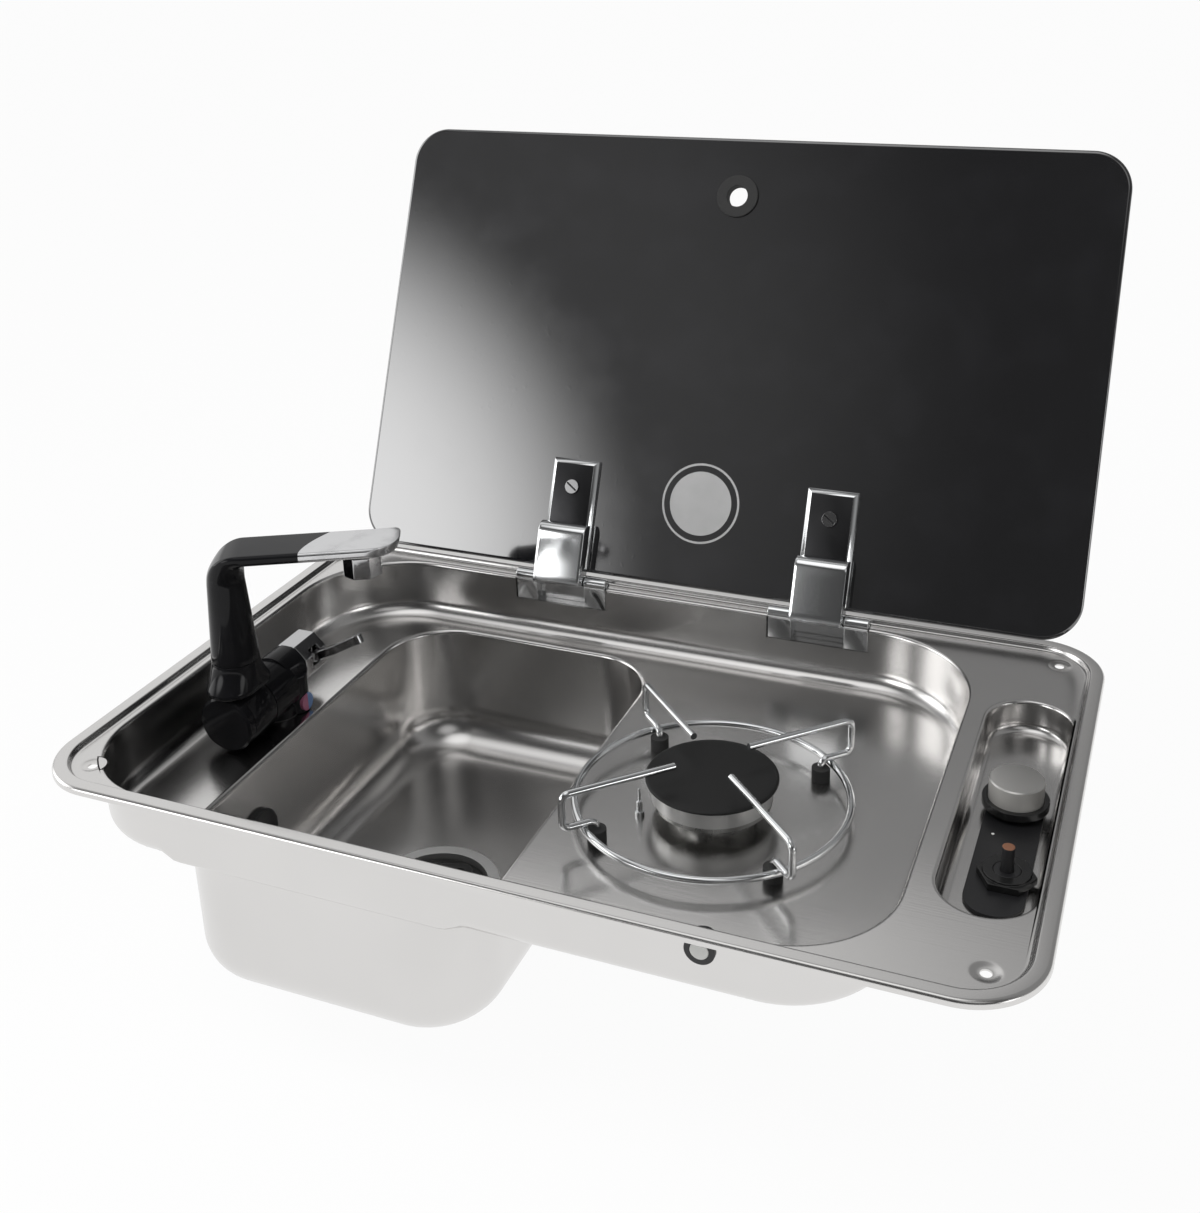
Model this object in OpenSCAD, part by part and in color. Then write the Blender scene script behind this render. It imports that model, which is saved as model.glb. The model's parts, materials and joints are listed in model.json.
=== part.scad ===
// Drop-in gas hob and sink unit with a hinged glass lid and a folding mixer tap.
// Millimetres. X runs along the width, the front edge faces -Y and +Z is up.
// z = 0 is the worktop plane under the flange, and the origin is the centre of
// the four corner screw holes.

/* [Flange] */
// Overall width of the flange
flange_w = 600; // [590:5:640]
// Overall depth of the flange, front to back
flange_d = 380; // [376:1:400]
// Corner radius of the flange
flange_r = 44; // [38:1:50]
// Width of the raised rim band
rim_w = 10; // [9:0.5:11]
// Height of the rim's flat top above the worktop
rim_h = 4.5; // [4:0.1:4.8]
// Thickness of the steel sheet
sheet_t = 1; // [0.8:0.1:1.2]
// Distance from the flange's side edges to the corner screw holes
hole_side_in = 30; // [27:1:33]
// Distance from the flange's front and back edges to the corner screw holes
hole_end_in = 29; // [26:1:32]
// Radius of the corner screw holes
hole_r = 3; // [2:0.25:3.5]
// Radius of the countersink round each screw hole
sink_r = 6.5; // [5:0.5:7.5]

/* [Hob tray] */
// Distance from the flange's left edge to the tray's left wall
tray_left_in = 17.5; // [17:0.5:22]
// Distance from the flange's front edge to the tray's front wall
tray_front_in = 14; // [13:0.5:17]
// Inside length of the tray, left to right
tray_w = 502; // [490:1:503]
// Inside length of the tray, front to back
tray_l = 345; // [340:1:346]
// Depth of the tray's floor under the worktop
tray_depth = 43; // [40:0.5:46]
// Plan radius of the tray's front corners
tray_r_front = 62; // [55:1:68]
// Plan radius of the tray's back corners
tray_r_back = 76; // [68:1:80]
// Radius between the tray's walls and its floor
tray_fillet = 12; // [8:0.5:14]

/* [Sink bowl] */
// Width of the ledge between the tray's left wall and the bowl
ledge_w = 65; // [63:0.5:70]
// Step back of the bowl's front wall from the tray's front wall
bowl_front_in = 4; // [3.5:0.5:6]
// Inside width of the bowl
bowl_w = 205; // [196:1:208]
// Inside length of the bowl, front to back
bowl_l = 320; // [305:1:322]
// Depth of the bowl's floor under the worktop
bowl_depth = 138; // [134:1:160]
// Plan radius of the bowl's corners
bowl_r = 48; // [42:1:55]
// Radius between the bowl's walls and its floor
bowl_fillet = 28; // [20:1:32]

/* [Control trough] */
// Distance from the flange's right edge to the trough's right wall
trough_right_in = 13; // [12:0.5:15]
// Inside width of the trough
trough_w = 53; // [50:0.5:55]
// Inside length of the trough
trough_l = 225; // [215:1:232]
// Distance from the flange's front edge to the trough's front end
trough_front_in = 71; // [66:1:76]
// Depth of the trough's floor under the worktop
trough_depth = 20; // [19:0.5:22]
// Radius between the trough's wall and its floor
trough_fillet = 6; // [4:0.5:7]

/* [Lid] */
// Width of the glass lid
lid_w = 560.5; // [545:0.5:566]
// Depth of the glass lid, hinge edge to free edge
lid_d = 341; // [330:0.5:341.5]
// Thickness of the glass
glass_t = 5; // [4:0.5:6]
// Corner radius of the glass
lid_r = 28; // [20:1:34]
// How far the lid stands open, from closed
lid_open = 113.9; // [100:0.1:114]
// Depth of the finger hole's centre in from the lid's free edge
finger_in = 44.5; // [38:0.5:55]
// Radius of the finger hole
finger_r = 8; // [7:0.5:9]
// Outside radius of the grommet round the finger hole
grommet_r = 16; // [14:0.5:18]

/* [Hinges] */
// Distance of each hinge from the middle of the lid
hinge_x = 101; // [80:1:110]
// Height of the hinge pin over the worktop
hinge_z = 2.6; // [2.4:0.1:3]
// Distance of the hinge pin behind the tray's back wall
hinge_back = 3.5; // [3:0.1:3.8]
// Radius of the hinge pin
hinge_pin_r = 2; // [1.5:0.1:2.4]
// Radius of the hinge knuckles
knuckle_r = 4.6; // [4.2:0.1:4.8]
// Width of each hinge arm
arm_w = 38; // [32:1:40]
// Length of the arm's plate on the glass
arm_plate_l = 85; // [70:1:95]
// Thickness of the arm's plate
arm_plate_t = 6; // [5:0.5:7]
// Depth of the arm's cover in front of the glass
cover_h = 17.6; // [15:0.2:18]
// Length of the cover's flat face along the lid
cover_l = 42; // [36:1:46]
// Wall thickness of the cover
cover_t = 1.6; // [1.2:0.1:2]
// Distance of the glass screw from the lid's hinge edge
glass_screw_v = 63.7; // [55:0.5:72]

/* [Tap] */
// Distance of the tap's fold axis from the tray's left wall
tap_in = 37.5; // [36:0.5:39]
// Distance of the column from the flange's front edge
column_front = 145.5; // [140:0.5:150]
// Height of the fold axis over the tray's floor
tap_axis_h = 21.5; // [21:0.1:22.5]
// Radius of the tap's horizontal body
tap_r = 20; // [18:0.25:20.5]
// Radius of the fold pin
fold_pin_r = 6; // [5:0.25:7]
// Height of the spout's top over the worktop
spout_top = 100.5; // [94:0.5:104]
// Length of the spout from the column's axis
spout_l = 116; // [100:1:118]
// Width of the spout
spout_w = 36; // [32:0.5:38]
// Thickness of the spout
spout_t = 7; // [6:0.5:9]
// Angle of the spout from the fold direction, as it stands in the photograph
spout_turn = 28; // [24:1:32]
// Radius of the column at its foot
column_r = 16; // [14.5:0.25:16.5]
// Radius of the column at its top
column_top_r = 12.4; // [11:0.2:12.8]
// Radius of the swivel spigot inside the column
spigot_r = 8; // [7:0.25:9]
// Distance of the aerator from the column's axis
aerator_out = 90; // [84:1:92]
// Radius of the aerator over its corners
aerator_r = 13.5; // [12:0.25:14]
// Radius of the mixer handle over its corners
handle_r = 16.8; // [15:0.2:17]
// Length of the mixer handle
handle_l = 26; // [22:0.5:27]

/* [Waste] */
// Distance of the waste's centre from the bowl's left wall
waste_x_in = 107.5; // [102:0.5:112]
// Distance of the waste's centre from the bowl's front wall
waste_y_in = 140; // [130:1:150]
// Outside radius of the waste's flange
waste_r = 43; // [41:0.5:45]
// Radius of the plug
plug_r = 34; // [32.5:0.25:34]
// Outside radius of the waste's outlet
outlet_r = 20; // [17:0.5:22]
// Wall thickness of the waste's outlet
outlet_t = 3; // [2:0.25:4]
// Radius of the overflow's cover
overflow_r = 18; // [16:0.5:20]

/* [Burner] */
// Distance of the burner from the tray's right wall
burner_right_in = 137; // [131:1:143]
// Distance of the burner from the tray's front wall
burner_front_in = 161; // [155:1:167]
// Radius of the burner's cap
cap_r = 41.6; // [38:0.2:43]
// Depth of the cap's top under the worktop
cap_drop = 17.7; // [17:0.1:19]
// Thickness of the cap's rim
cap_t = 2.4; // [2:0.1:3]
// Radius of the chrome burner ring
crown_r = 38; // [35:0.5:38.5]
// Height of the chrome burner ring
crown_h = 11.8; // [10:0.2:12]
// Radius of the burner's stem
stem_r = 22; // [18:0.5:25]

/* [Trivet] */
// Radius of the trivet's ring
trivet_r = 85.7; // [82:0.1:88]
// Wire radius of the ring
ring_wire = 2.4; // [2:0.1:2.6]
// Wire radius of the arms
arm_wire = 2; // [1.8:0.1:2.2]
// Height of the ring's centre over the tray's floor
ring_up = 10; // [9:0.1:10.5]
// Depth of the arms' top wires under the worktop
arm_drop = 5; // [4.8:0.1:7]
// Radius of the arms' outer corners
arm_out = 100; // [95:0.5:102]
// Radius of the arms' inner tips
arm_in = 26; // [20:1:32]
// Radius of the circle that the rubber feet stand on
foot_circle = 78; // [76:0.1:78.4]
// Radius of the rubber feet
foot_r = 6; // [5:0.25:6.5]

/* [Controls] */
// Distance of the knob from the flange's front edge
knob_front = 200.5; // [197:0.5:204]
// Radius of the knob's skirt
skirt_r = 19.5; // [18:0.25:20]
// Radius of the knob's cap
knob_r = 16; // [14:0.25:17]
// Height of the knob's top over the worktop
knob_top = 3; // [1:0.1:3.2]
// Travel of the knob when pushed
knob_push = 2; // [1.5:0.1:2.1]
// Distance of the igniter in front of the knob
igniter_gap = 68.5; // [64:0.5:72]
// Radius of the igniter's nut over its corners
nut_r = 16.5; // [14:0.25:17]
// Radius of the igniter's button
button_r = 3.6; // [3:0.1:4]
// Width of the plate under the knob
plate_w = 33; // [30:0.5:34]
// Length of the plate under the knob
plate_l = 114; // [112:1:118]

/* [Services] */
// Outside radius of the gas pipes
pipe_r = 4; // [3:0.25:5]
// Radius of the water tails
tail_r = 5; // [4:0.25:5.5]
// Radius of the tap's threaded shank
shank_r = 13; // [12:0.25:14]

/* [Clearances] */
// Clearance round a part that moves
move_gap = 0.3; // [0.25:0.05:0.4]
// Radial clearance of a pin in its bore
pin_gap = 0.05; // [0.02:0.01:0.09]
// Clearance round a part that stands in a hole
hole_gap = 0.5; // [0.3:0.1:0.8]

/* [Hidden] */
$fn = 64;

steel = [0.72, 0.72, 0.71];
black = [0.05, 0.05, 0.06];
chrome = [0.85, 0.86, 0.88];
rubber = [0.09, 0.09, 0.09];
brass = [0.78, 0.62, 0.3];
pale = [0.82, 0.82, 0.8];

eps = 0.01;
hull_fn = 48;

// Flange, tray, bowl and trough, as places on the worktop.
flange_x0 = -flange_w / 2;
flange_y0 = -flange_d / 2;
hole_dx = flange_w / 2 - hole_side_in;
hole_dy = flange_d / 2 - hole_end_in;
tray_x0 = flange_x0 + tray_left_in;
tray_x1 = tray_x0 + tray_w;
tray_y0 = flange_y0 + tray_front_in;
tray_y1 = tray_y0 + tray_l;
floor_z = -tray_depth;
tray_low = floor_z - sheet_t;
bowl_x0 = tray_x0 + ledge_w;
bowl_x1 = bowl_x0 + bowl_w;
bowl_y0 = tray_y0 + bowl_front_in;
bowl_y1 = bowl_y0 + bowl_l;
bowl_z = -bowl_depth;
trough_x1 = flange_w / 2 - trough_right_in;
trough_x = trough_x1 - trough_w / 2;
trough_y0 = flange_y0 + trough_front_in;
trough_z = -trough_depth;

// Rim section: how the sheet rolls over from the lip to the deck.
lip_round = 2.5;
rim_slope = 1.4;
lap = 0.4;
seal_gap = 0.3;

// Hinge line and the pocket that each hinge base stands in.
hinge_y = tray_y1 + hinge_back;
lid_back = 8;
lid_rise = 2.5;
base_half = 37;
base_back = 5.6;
base_drop = 19.5;
pocket_half = base_half + hole_gap;
pocket_y = hinge_y + base_back + hole_gap;
pocket_z = hinge_z - base_drop;
cover_tail = 4;
screw_r = 5.5;

// Tap: fold axis, column and mixer.
tap_x = tray_x0 + tap_in;
tap_z = floor_z + tap_axis_h;
column_y = flange_y0 + column_front;
hub_half = 12.5;
hub_y0 = column_y - hub_half;
hub_y1 = column_y + hub_half;
end_cap_l = 7;
skirt_z = tap_z + tap_r + 1;
seam_z = tap_z + 41.5;
spigot_h = 12;
mixer_y = hub_y1 + 44;
handle_z = tap_z + 6;
leg_x = tap_x + 11;
leg_y = mixer_y - 9.5;
leg_r = 9;
lever_rise = 23;
disc_r = 6.5;
disc_seat = 6.8;
disc_h = 7.5;
barrel_end = leg_y - disc_r - 1;
shank_y = hub_y1 + 26;
shank_l = 42;
tap_nut_h = 7;
tail_pitch = 6.5;
tail_l = 40;
spout_z = spout_top - spout_t;
spout_seam = 61;
seam_turn = 30;
tip_r = 22;
aerator_h = 15;

// Waste in the bowl's floor.
waste_x = bowl_x0 + waste_x_in;
waste_y = bowl_y0 + waste_y_in;
sleeve_r = plug_r + 1;
sleeve_t = 1.5;
sleeve_low = bowl_z - 14;
seat_z = bowl_z - 8;
seat_r = plug_r - 6;
seal_t = 2;
plug_t = 3;
grip_w = 46;
grip_l = 32;
grip_h = 7;
grip_turn = 17;
body_low = sleeve_low - 12;
outlet_low = body_low - 30;
overflow_front = 94;
overflow_y = bowl_y0 + overflow_front;
overflow_z = -92;
overflow_t = 4;
neck_r = 10;

// Burner and trivet.
burner_x = tray_x1 - burner_right_in;
burner_y = tray_y0 + burner_front_in;
cap_z = -cap_drop;
crown_z = cap_z - cap_t;
cup_z = crown_z - crown_h;
cup_t = 3;
stem_low = tray_low - 26;
tube_z = tray_low - 15;
tube_r = 8;
injector_x = burner_x + 52;
electrode_x = burner_x - 40.5;
electrode_y = burner_y - 21;
thermo_x = burner_x - 19;
thermo_y = burner_y + 43;
ring_z = floor_z + ring_up;
arm_low = ring_z + ring_wire + arm_wire - 0.1;
arm_top = -arm_drop;
leg_low = floor_z + 4;
foot_h = 9;

// Controls in the trough.
knob_x = trough_x + 1.5;
knob_y = flange_y0 + knob_front;
plate_t = 2;
plate_x = trough_x + 2;
plate_front = 103.5;
plate_y0 = knob_y - plate_front;
plate_top = trough_z + plate_t;
skirt_low = plate_top + knob_push + 0.5;
skirt_h = 6;
knob_seat = skirt_low + 3;
igniter_x = trough_x + 6;
igniter_y = knob_y - igniter_gap;
igniter_nut_h = 6;
button_top = knob_top;
button_push = 4;
neck_of_igniter = 7.5;
valve_w = 34;
valve_l = 60;
valve_low = trough_z - sheet_t - 26;
spindle_r = 3.5;
plug_of_valve_r = 8;
gas_z = tube_z;
inlet_end = flange_d / 2 - 45;

// Fitting through the tray's front wall, in front of the burner.
grommet_x = burner_x + 47;
grommet_z = -13;
grommet_hole = 6;

rim_deck();
hob_tray();
sink_bowl();
control_trough();
rim_seal();
tap_base();
tap_end_cap();
tap_hub();
tap_column();
spout_tip();
aerator();
mixer_cartridge();
mixer_handle();
mixer_lever();
temperature_disc();
tap_gasket();
tap_nut();
water_tails();
waste_flange();
waste_body();
waste_gasket();
waste_plug();
plug_seal();
overflow_cover();
overflow_elbow();
wall_grommet();
grommet_disc();
burner_cup();
burner_ring();
burner_cap();
spark_electrode();
thermocouple();
mixing_tube();
gas_injector();
burner_nut();
gas_pipe();
gas_inlet();
trivet_ring();
trivet_arms();
trivet_feet();
control_plate();
gas_valve();
valve_plug();
valve_spindle();
knob_skirt();
knob_cap();
igniter_body();
igniter_nut();
igniter_button();
lid_glass();
lid_grommet();
hinge_base(-hinge_x);  // hinge_base_left
hinge_base(hinge_x);  // hinge_base_right
hinge_arm(-hinge_x);  // hinge_arm_left
hinge_arm(hinge_x);  // hinge_arm_right
hinge_cover(-hinge_x);  // hinge_cover_left
hinge_cover(hinge_x);  // hinge_cover_right
hinge_pins();
glass_screws();

// Plan of a rectangle whose front and back corners may have different radii.
module plan(x0, y0, x1, y1, rf, rb) {
    union() {
        if (x1 - x0 > 2 * rf + eps) translate([x0 + rf, y0]) square([x1 - x0 - 2 * rf, y1 - y0 - rb]);
        if (x1 - x0 > 2 * rb + eps) translate([x0 + rb, y1 - 2 * rb]) square([x1 - x0 - 2 * rb, 2 * rb]);
        translate([x0, y0 + rf]) square([x1 - x0, y1 - y0 - rf - rb]);
        translate([x0 + rf, y0 + rf]) circle(rf);
        translate([x1 - rf, y0 + rf]) circle(rf);
        translate([x0 + rb, y1 - rb]) circle(rb);
        translate([x1 - rb, y1 - rb]) circle(rb);
    }
}

// A box of the given plan from z0 up to z1, with straight walls.
module prism_of(x0, y0, x1, y1, rf, rb, z0, z1) {
    translate([0, 0, z0]) linear_extrude(z1 - z0) plan(x0, y0, x1, y1, rf, rb);
}

// Points along an arc, in steps.
function arc(cx, cy, r, a0, a1, steps) =
    [for (i = [0 : steps]) let (a = a0 + (a1 - a0) * i / steps) [cx + r * cos(a), cy + r * sin(a)]];

// Half section of a cup: the wall at x = 0, a rounded foot, and the floor out to x = w.
function wall_profile(w, z0, z1, f) =
    concat([[0, z1]], arc(f, z0 + f, f, 180, 270, 9), [[w, z0], [w, z1]]);

module cup_corner(x, y, a, r, z0, z1, f) {
    translate([x, y, 0]) rotate([0, 0, a]) rotate_extrude(angle = 90)
        translate([r, 0]) mirror([1, 0]) polygon(wall_profile(r, z0, z1, f));
}

// Straight wall that starts at x, y and runs for length l along the angle a.
module cup_side(x, y, a, l, w, z0, z1, f) {
    translate([x, y, 0]) rotate([0, 0, a]) rotate([90, 0, 90])
        linear_extrude(l) polygon(wall_profile(w, z0, z1, f));
}

// A cup's inside: straight walls and a rounded edge of radius f at its floor z0.
module cup_form(x0, y0, x1, y1, rf, rb, z0, z1, f) {
    union() {
        cup_corner(x0 + rf, y0 + rf, 180, rf, z0, z1, f);
        cup_corner(x1 - rf, y0 + rf, 270, rf, z0, z1, f);
        cup_corner(x1 - rb, y1 - rb, 0, rb, z0, z1, f);
        cup_corner(x0 + rb, y1 - rb, 90, rb, z0, z1, f);
        if (x1 - x0 > 2 * rf + eps) {
            cup_side(x0 + rf, y0, 0, x1 - x0 - 2 * rf, rf, z0, z1, f);
            cup_side(x1 - rb, y1, 180, x1 - x0 - 2 * rb, rb, z0, z1, f);
            translate([x0 + rf, y0 + rf, z0]) cube([x1 - x0 - 2 * rf, y1 - y0 - rf - rb, z1 - z0]);
        }
        cup_side(x1, y0 + rf, 90, y1 - y0 - rf - rb, rf, z0, z1, f);
        cup_side(x0, y1 - rb, 270, y1 - y0 - rf - rb, rf, z0, z1, f);
    }
}

// Sweeps a section round a rounded rectangle. The section's x is measured inward.
module frame_sweep(w, d, r) {
    for (a = [0 : 3]) {
        sx = (a == 0 || a == 3) ? 1 : -1;
        sy = (a < 2) ? 1 : -1;
        translate([sx * (w / 2 - r), sy * (d / 2 - r), 0]) rotate([0, 0, 90 * a])
            rotate_extrude(angle = 90) translate([r, 0]) mirror([1, 0]) children();
    }
    translate([-w / 2 + r, -d / 2, 0]) rotate([90, 0, 90]) linear_extrude(w - 2 * r) children();
    translate([w / 2 - r, d / 2, 0]) rotate([90, 0, 270]) linear_extrude(w - 2 * r) children();
    translate([w / 2, -d / 2 + r, 0]) rotate([90, 0, 180]) linear_extrude(d - 2 * r) children();
    translate([-w / 2, d / 2 - r, 0]) rotate([90, 0, 0]) linear_extrude(d - 2 * r) children();
}

// A straight round bar between two points.
module bar(p, q, r) {
    d = q - p;
    l = norm(d);
    translate(p) rotate([0, acos(d[2] / l), atan2(d[1], d[0])]) cylinder(r = r, h = l);
}

function heading(p, q) = atan2(q[1] - p[1], q[0] - p[0]);
function turn(a, b) = b - a > 180 ? b - a - 360 : b - a < -180 ? b - a + 360 : b - a;

// Turn of the wire at point i, and the length that its bend takes off each side.
function bend_turn(pts, i) =
    (i == 0 || i == len(pts) - 1) ? 0 : turn(heading(pts[i - 1], pts[i]), heading(pts[i], pts[i + 1]));
function bend_cut(pts, i, br) = br * tan(abs(bend_turn(pts, i)) / 2);

// A round wire of radius r in the XY plane through the points, with bends of radius br.
module flat_wire(pts, r, br) {
    for (i = [0 : len(pts) - 2]) {
        a = heading(pts[i], pts[i + 1]);
        c = bend_cut(pts, i, br);
        l = norm(pts[i + 1] - pts[i]) - c - bend_cut(pts, i + 1, br);
        translate([pts[i][0] + c * cos(a), pts[i][1] + c * sin(a), 0]) rotate([0, 0, a])
            rotate([0, 90, 0]) cylinder(r = r, h = l);
    }
    for (i = [1 : len(pts) - 2]) {
        a = heading(pts[i - 1], pts[i]);
        t = bend_turn(pts, i);
        c = bend_cut(pts, i, br);
        side = t > 0 ? 90 : -90;
        cx = pts[i][0] - c * cos(a) + br * cos(a + side);
        cy = pts[i][1] - c * sin(a) + br * sin(a + side);
        translate([cx, cy, 0]) rotate([0, 0, t > 0 ? a - 90 : a + 90 + t])
            rotate_extrude(angle = abs(t)) translate([br, 0]) circle(r);
    }
}

// A cylinder along X or Y from the point given.
module along_x(p, r, l) {
    translate(p) rotate([0, 90, 0]) cylinder(r = r, h = l);
}

module along_y(p, r, l) {
    translate(p) rotate([-90, 0, 0]) cylinder(r = r, h = l);
}

// Carries a shape from the closed lid's frame to where the open lid stands.
// In that frame the hinge pin is the X axis and the lid runs along -Y.
module on_lid() {
    translate([0, hinge_y, hinge_z]) rotate([-lid_open, 0, 0]) children();
}

// Carries a shape from the spout's frame, along +X, to where the spout points.
module on_spout() {
    translate([tap_x, column_y, 0]) rotate([0, 0, spout_turn]) children();
}

module tray_plan(grow) {
    plan(tray_x0 - grow, tray_y0 - grow, tray_x1 + grow, tray_y1 + grow,
        tray_r_front + grow, tray_r_back + grow);
}

module trough_plan(grow) {
    plan(trough_x - trough_w / 2 - grow, trough_y0 - grow,
        trough_x + trough_w / 2 + grow, trough_y0 + trough_l + grow,
        trough_w / 2 + grow, trough_w / 2 + grow);
}

module pockets(grow, top) {
    for (s = [-1, 1]) {
        translate([s * hinge_x - pocket_half - grow, tray_y1 - 20, pocket_z - grow])
            cube([2 * (pocket_half + grow), pocket_y + grow - tray_y1 + 20, top - pocket_z + grow]);
    }
}

module at_corner_holes() {
    for (sx = [-1, 1]) {
        for (sy = [-1, 1]) translate([sx * hole_dx, sy * hole_dy, 0]) children();
    }
}

// Flat deck with its rolled rim.
module rim_deck() {
    inner = rim_w + rim_slope;
    in_h = rim_h - sheet_t;
    color(steel) union() {
        frame_sweep(flange_w, flange_d, flange_r) polygon(concat(
            [[sheet_t, 0], [0, 0]],
            arc(lip_round, rim_h - lip_round, lip_round, 180, 90, 5),
            [[rim_w, rim_h], [inner, 0.5 * sheet_t], [inner, 0], [inner - 0.8, 0], [rim_w - 0.6, in_h]],
            arc(lip_round, rim_h - lip_round, lip_round - sheet_t, 90, 180, 5)));
        difference() {
            prism_of(flange_x0 + inner - lap, flange_y0 + inner - lap, lap - flange_x0 - inner,
                lap - flange_y0 - inner, flange_r - inner + lap, flange_r - inner + lap, 0, sheet_t);
            translate([0, 0, -1]) linear_extrude(sheet_t + 2) tray_plan(0);
            translate([0, 0, -1]) linear_extrude(sheet_t + 2) trough_plan(0);
            pockets(0, 5);
            at_corner_holes() translate([0, 0, -1]) cylinder(r = hole_r, h = sheet_t + 2);
            at_corner_holes() translate([0, 0, sheet_t * 0.4])
                cylinder(r1 = hole_r, r2 = sink_r, h = sheet_t * 0.6 + eps);
        }
    }
}

// Rubber seal that fills the hollow under the rim.
module rim_seal() {
    color(rubber) frame_sweep(flange_w, flange_d, flange_r)
        translate([lip_round + seal_gap, 0])
            square([rim_w - lip_round - 0.6 - 2 * seal_gap, rim_h - sheet_t]);
}

// The bowl's opening through the tray's floor, as a straight prism between two heights.
module bowl_mouth(grow, z0, z1) {
    prism_of(bowl_x0 - grow, bowl_y0 - grow, bowl_x1 + grow, bowl_y1 + grow,
        bowl_r + grow, bowl_r + grow, z0, z1);
}

// Tray that the burner, the tap and the bowl are set in.
module hob_tray() {
    mouth_top = floor_z + tray_fillet;
    color(steel) difference() {
        union() {
            cup_form(tray_x0 - sheet_t, tray_y0 - sheet_t, tray_x1 + sheet_t, tray_y1 + sheet_t,
                tray_r_front + sheet_t, tray_r_back + sheet_t, tray_low, 0, tray_fillet + sheet_t);
            pockets(sheet_t, 0);
            bowl_mouth(sheet_t, tray_low, mouth_top);
        }
        cup_form(tray_x0, tray_y0, tray_x1, tray_y1, tray_r_front, tray_r_back,
            floor_z, 5, tray_fillet);
        pockets(0, 5);
        bowl_mouth(0, tray_low - 1, mouth_top + 1);
        cylinder_at_z(burner_x, burner_y, tray_low - 1, stem_r + hole_gap, 3 * sheet_t);
        cylinder_at_z(tap_x, shank_y, tray_low - 1, shank_r + hole_gap, 3 * sheet_t);
        cylinder_at_z(electrode_x, electrode_y, tray_low - 1, 2 + hole_gap, 3 * sheet_t);
        cylinder_at_z(thermo_x, thermo_y, tray_low - 1, 2 + hole_gap, 3 * sheet_t);
        along_y([grommet_x, tray_y0 - 2 * sheet_t, grommet_z], grommet_hole + 0.2, 4 * sheet_t);
    }
}

// Deep bowl, welded under the tray round its opening.
module sink_bowl() {
    color(steel) difference() {
        cup_form(bowl_x0 - sheet_t, bowl_y0 - sheet_t, bowl_x1 + sheet_t, bowl_y1 + sheet_t,
            bowl_r + sheet_t, bowl_r + sheet_t, bowl_z - sheet_t, tray_low, bowl_fillet + sheet_t);
        cup_form(bowl_x0, bowl_y0, bowl_x1, bowl_y1, bowl_r, bowl_r, bowl_z, 0, bowl_fillet);
        cylinder_at_z(waste_x, waste_y, bowl_z - 5, sleeve_r + sleeve_t + hole_gap, 10);
        along_x([bowl_x0 - 5, overflow_y, overflow_z], neck_r + 0.3, 10);
    }
}

// Long trough for the knob and the igniter.
module control_trough() {
    color(steel) difference() {
        cup_form(trough_x - trough_w / 2 - sheet_t, trough_y0 - sheet_t,
            trough_x + trough_w / 2 + sheet_t, trough_y0 + trough_l + sheet_t,
            trough_w / 2 + sheet_t, trough_w / 2 + sheet_t, trough_z - sheet_t, 0,
            trough_fillet + sheet_t);
        cup_form(trough_x - trough_w / 2, trough_y0, trough_x + trough_w / 2,
            trough_y0 + trough_l, trough_w / 2, trough_w / 2, trough_z, 5, trough_fillet);
        cylinder_at_z(knob_x, knob_y, trough_z - 3, spindle_r + 1.5, 6);
        cylinder_at_z(igniter_x, igniter_y, trough_z - 3, neck_of_igniter + 0.3, 6);
    }
}

// Body of the tap: the horizontal barrel, the mixing chamber, the leg and the shank.
module tap_base() {
    color(black) difference() {
        union() {
            along_y([tap_x, hub_y1 + move_gap, tap_z], tap_r, barrel_end - hub_y1 - move_gap);
            along_y([tap_x, mixer_y - 20, handle_z], handle_r - 0.8, 20);
            cylinder_at_z(leg_x, leg_y, floor_z + 0.6, leg_r, handle_z - floor_z);
            cylinder_at_z(tap_x, shank_y, floor_z + 0.6, shank_r + 2, tap_axis_h);
            cylinder_at_z(tap_x, shank_y, tray_low - shank_l, shank_r, shank_l + tap_axis_h);
            along_y([tap_x, hub_y0 - move_gap, tap_z], fold_pin_r, 2 * hub_half + 6);
        }
        along_y([tap_x, mixer_y - 12, handle_z], 10, 13);
        along_x([leg_x + disc_seat, leg_y, floor_z + disc_h], disc_r + pin_gap, 10);
        for (s = [-1, 1]) {
            cylinder_at_z(tap_x + s * tail_pitch, shank_y, tray_low - shank_l - 1,
                tail_r + pin_gap, 25);
        }
    }
}

module cylinder_at_z(x, y, z, r, h) {
    translate([x, y, z]) cylinder(r = r, h = h);
}

// Round cap on the front end of the fold pin.
module tap_end_cap() {
    y = hub_y0 - move_gap - end_cap_l;
    color(black) union() {
        along_y([tap_x, y + 1.5, tap_z], tap_r, end_cap_l - 1.5);
        translate([tap_x, y, tap_z]) rotate([-90, 0, 0])
            cylinder(r1 = tap_r - 1.5, r2 = tap_r, h = 1.5 + eps);
    }
}

// Hub that folds on the pin, with the flared foot of the column.
module tap_hub() {
    color(black) union() {
        difference() {
            union() {
                along_y([tap_x, hub_y0, tap_z], tap_r, 2 * hub_half);
                translate([tap_x - 10, hub_y0, tap_z]) cube([20, 2 * hub_half, tap_r + 4]);
            }
            along_y([tap_x, hub_y0 - 1, tap_z], fold_pin_r + pin_gap, 2 * hub_half + 2);
        }
        hull() {
            translate([tap_x, column_y, skirt_z]) linear_extrude(3) skirt_plan(column_r + 1, 7);
            translate([tap_x, column_y, skirt_z + 14]) linear_extrude(1) skirt_plan(column_r + 0.2, 2);
            translate([tap_x, column_y, seam_z - 1]) cylinder(r = column_r, h = 1, $fn = hull_fn);
        }
        translate([tap_x, column_y, seam_z - 2]) cylinder(r = spigot_r, h = spigot_h + 2);
    }
}

module skirt_plan(r, reach) {
    hull() {
        translate([0, -reach]) circle(r, $fn = hull_fn);
        translate([0, reach]) circle(r, $fn = hull_fn);
    }
}

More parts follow.
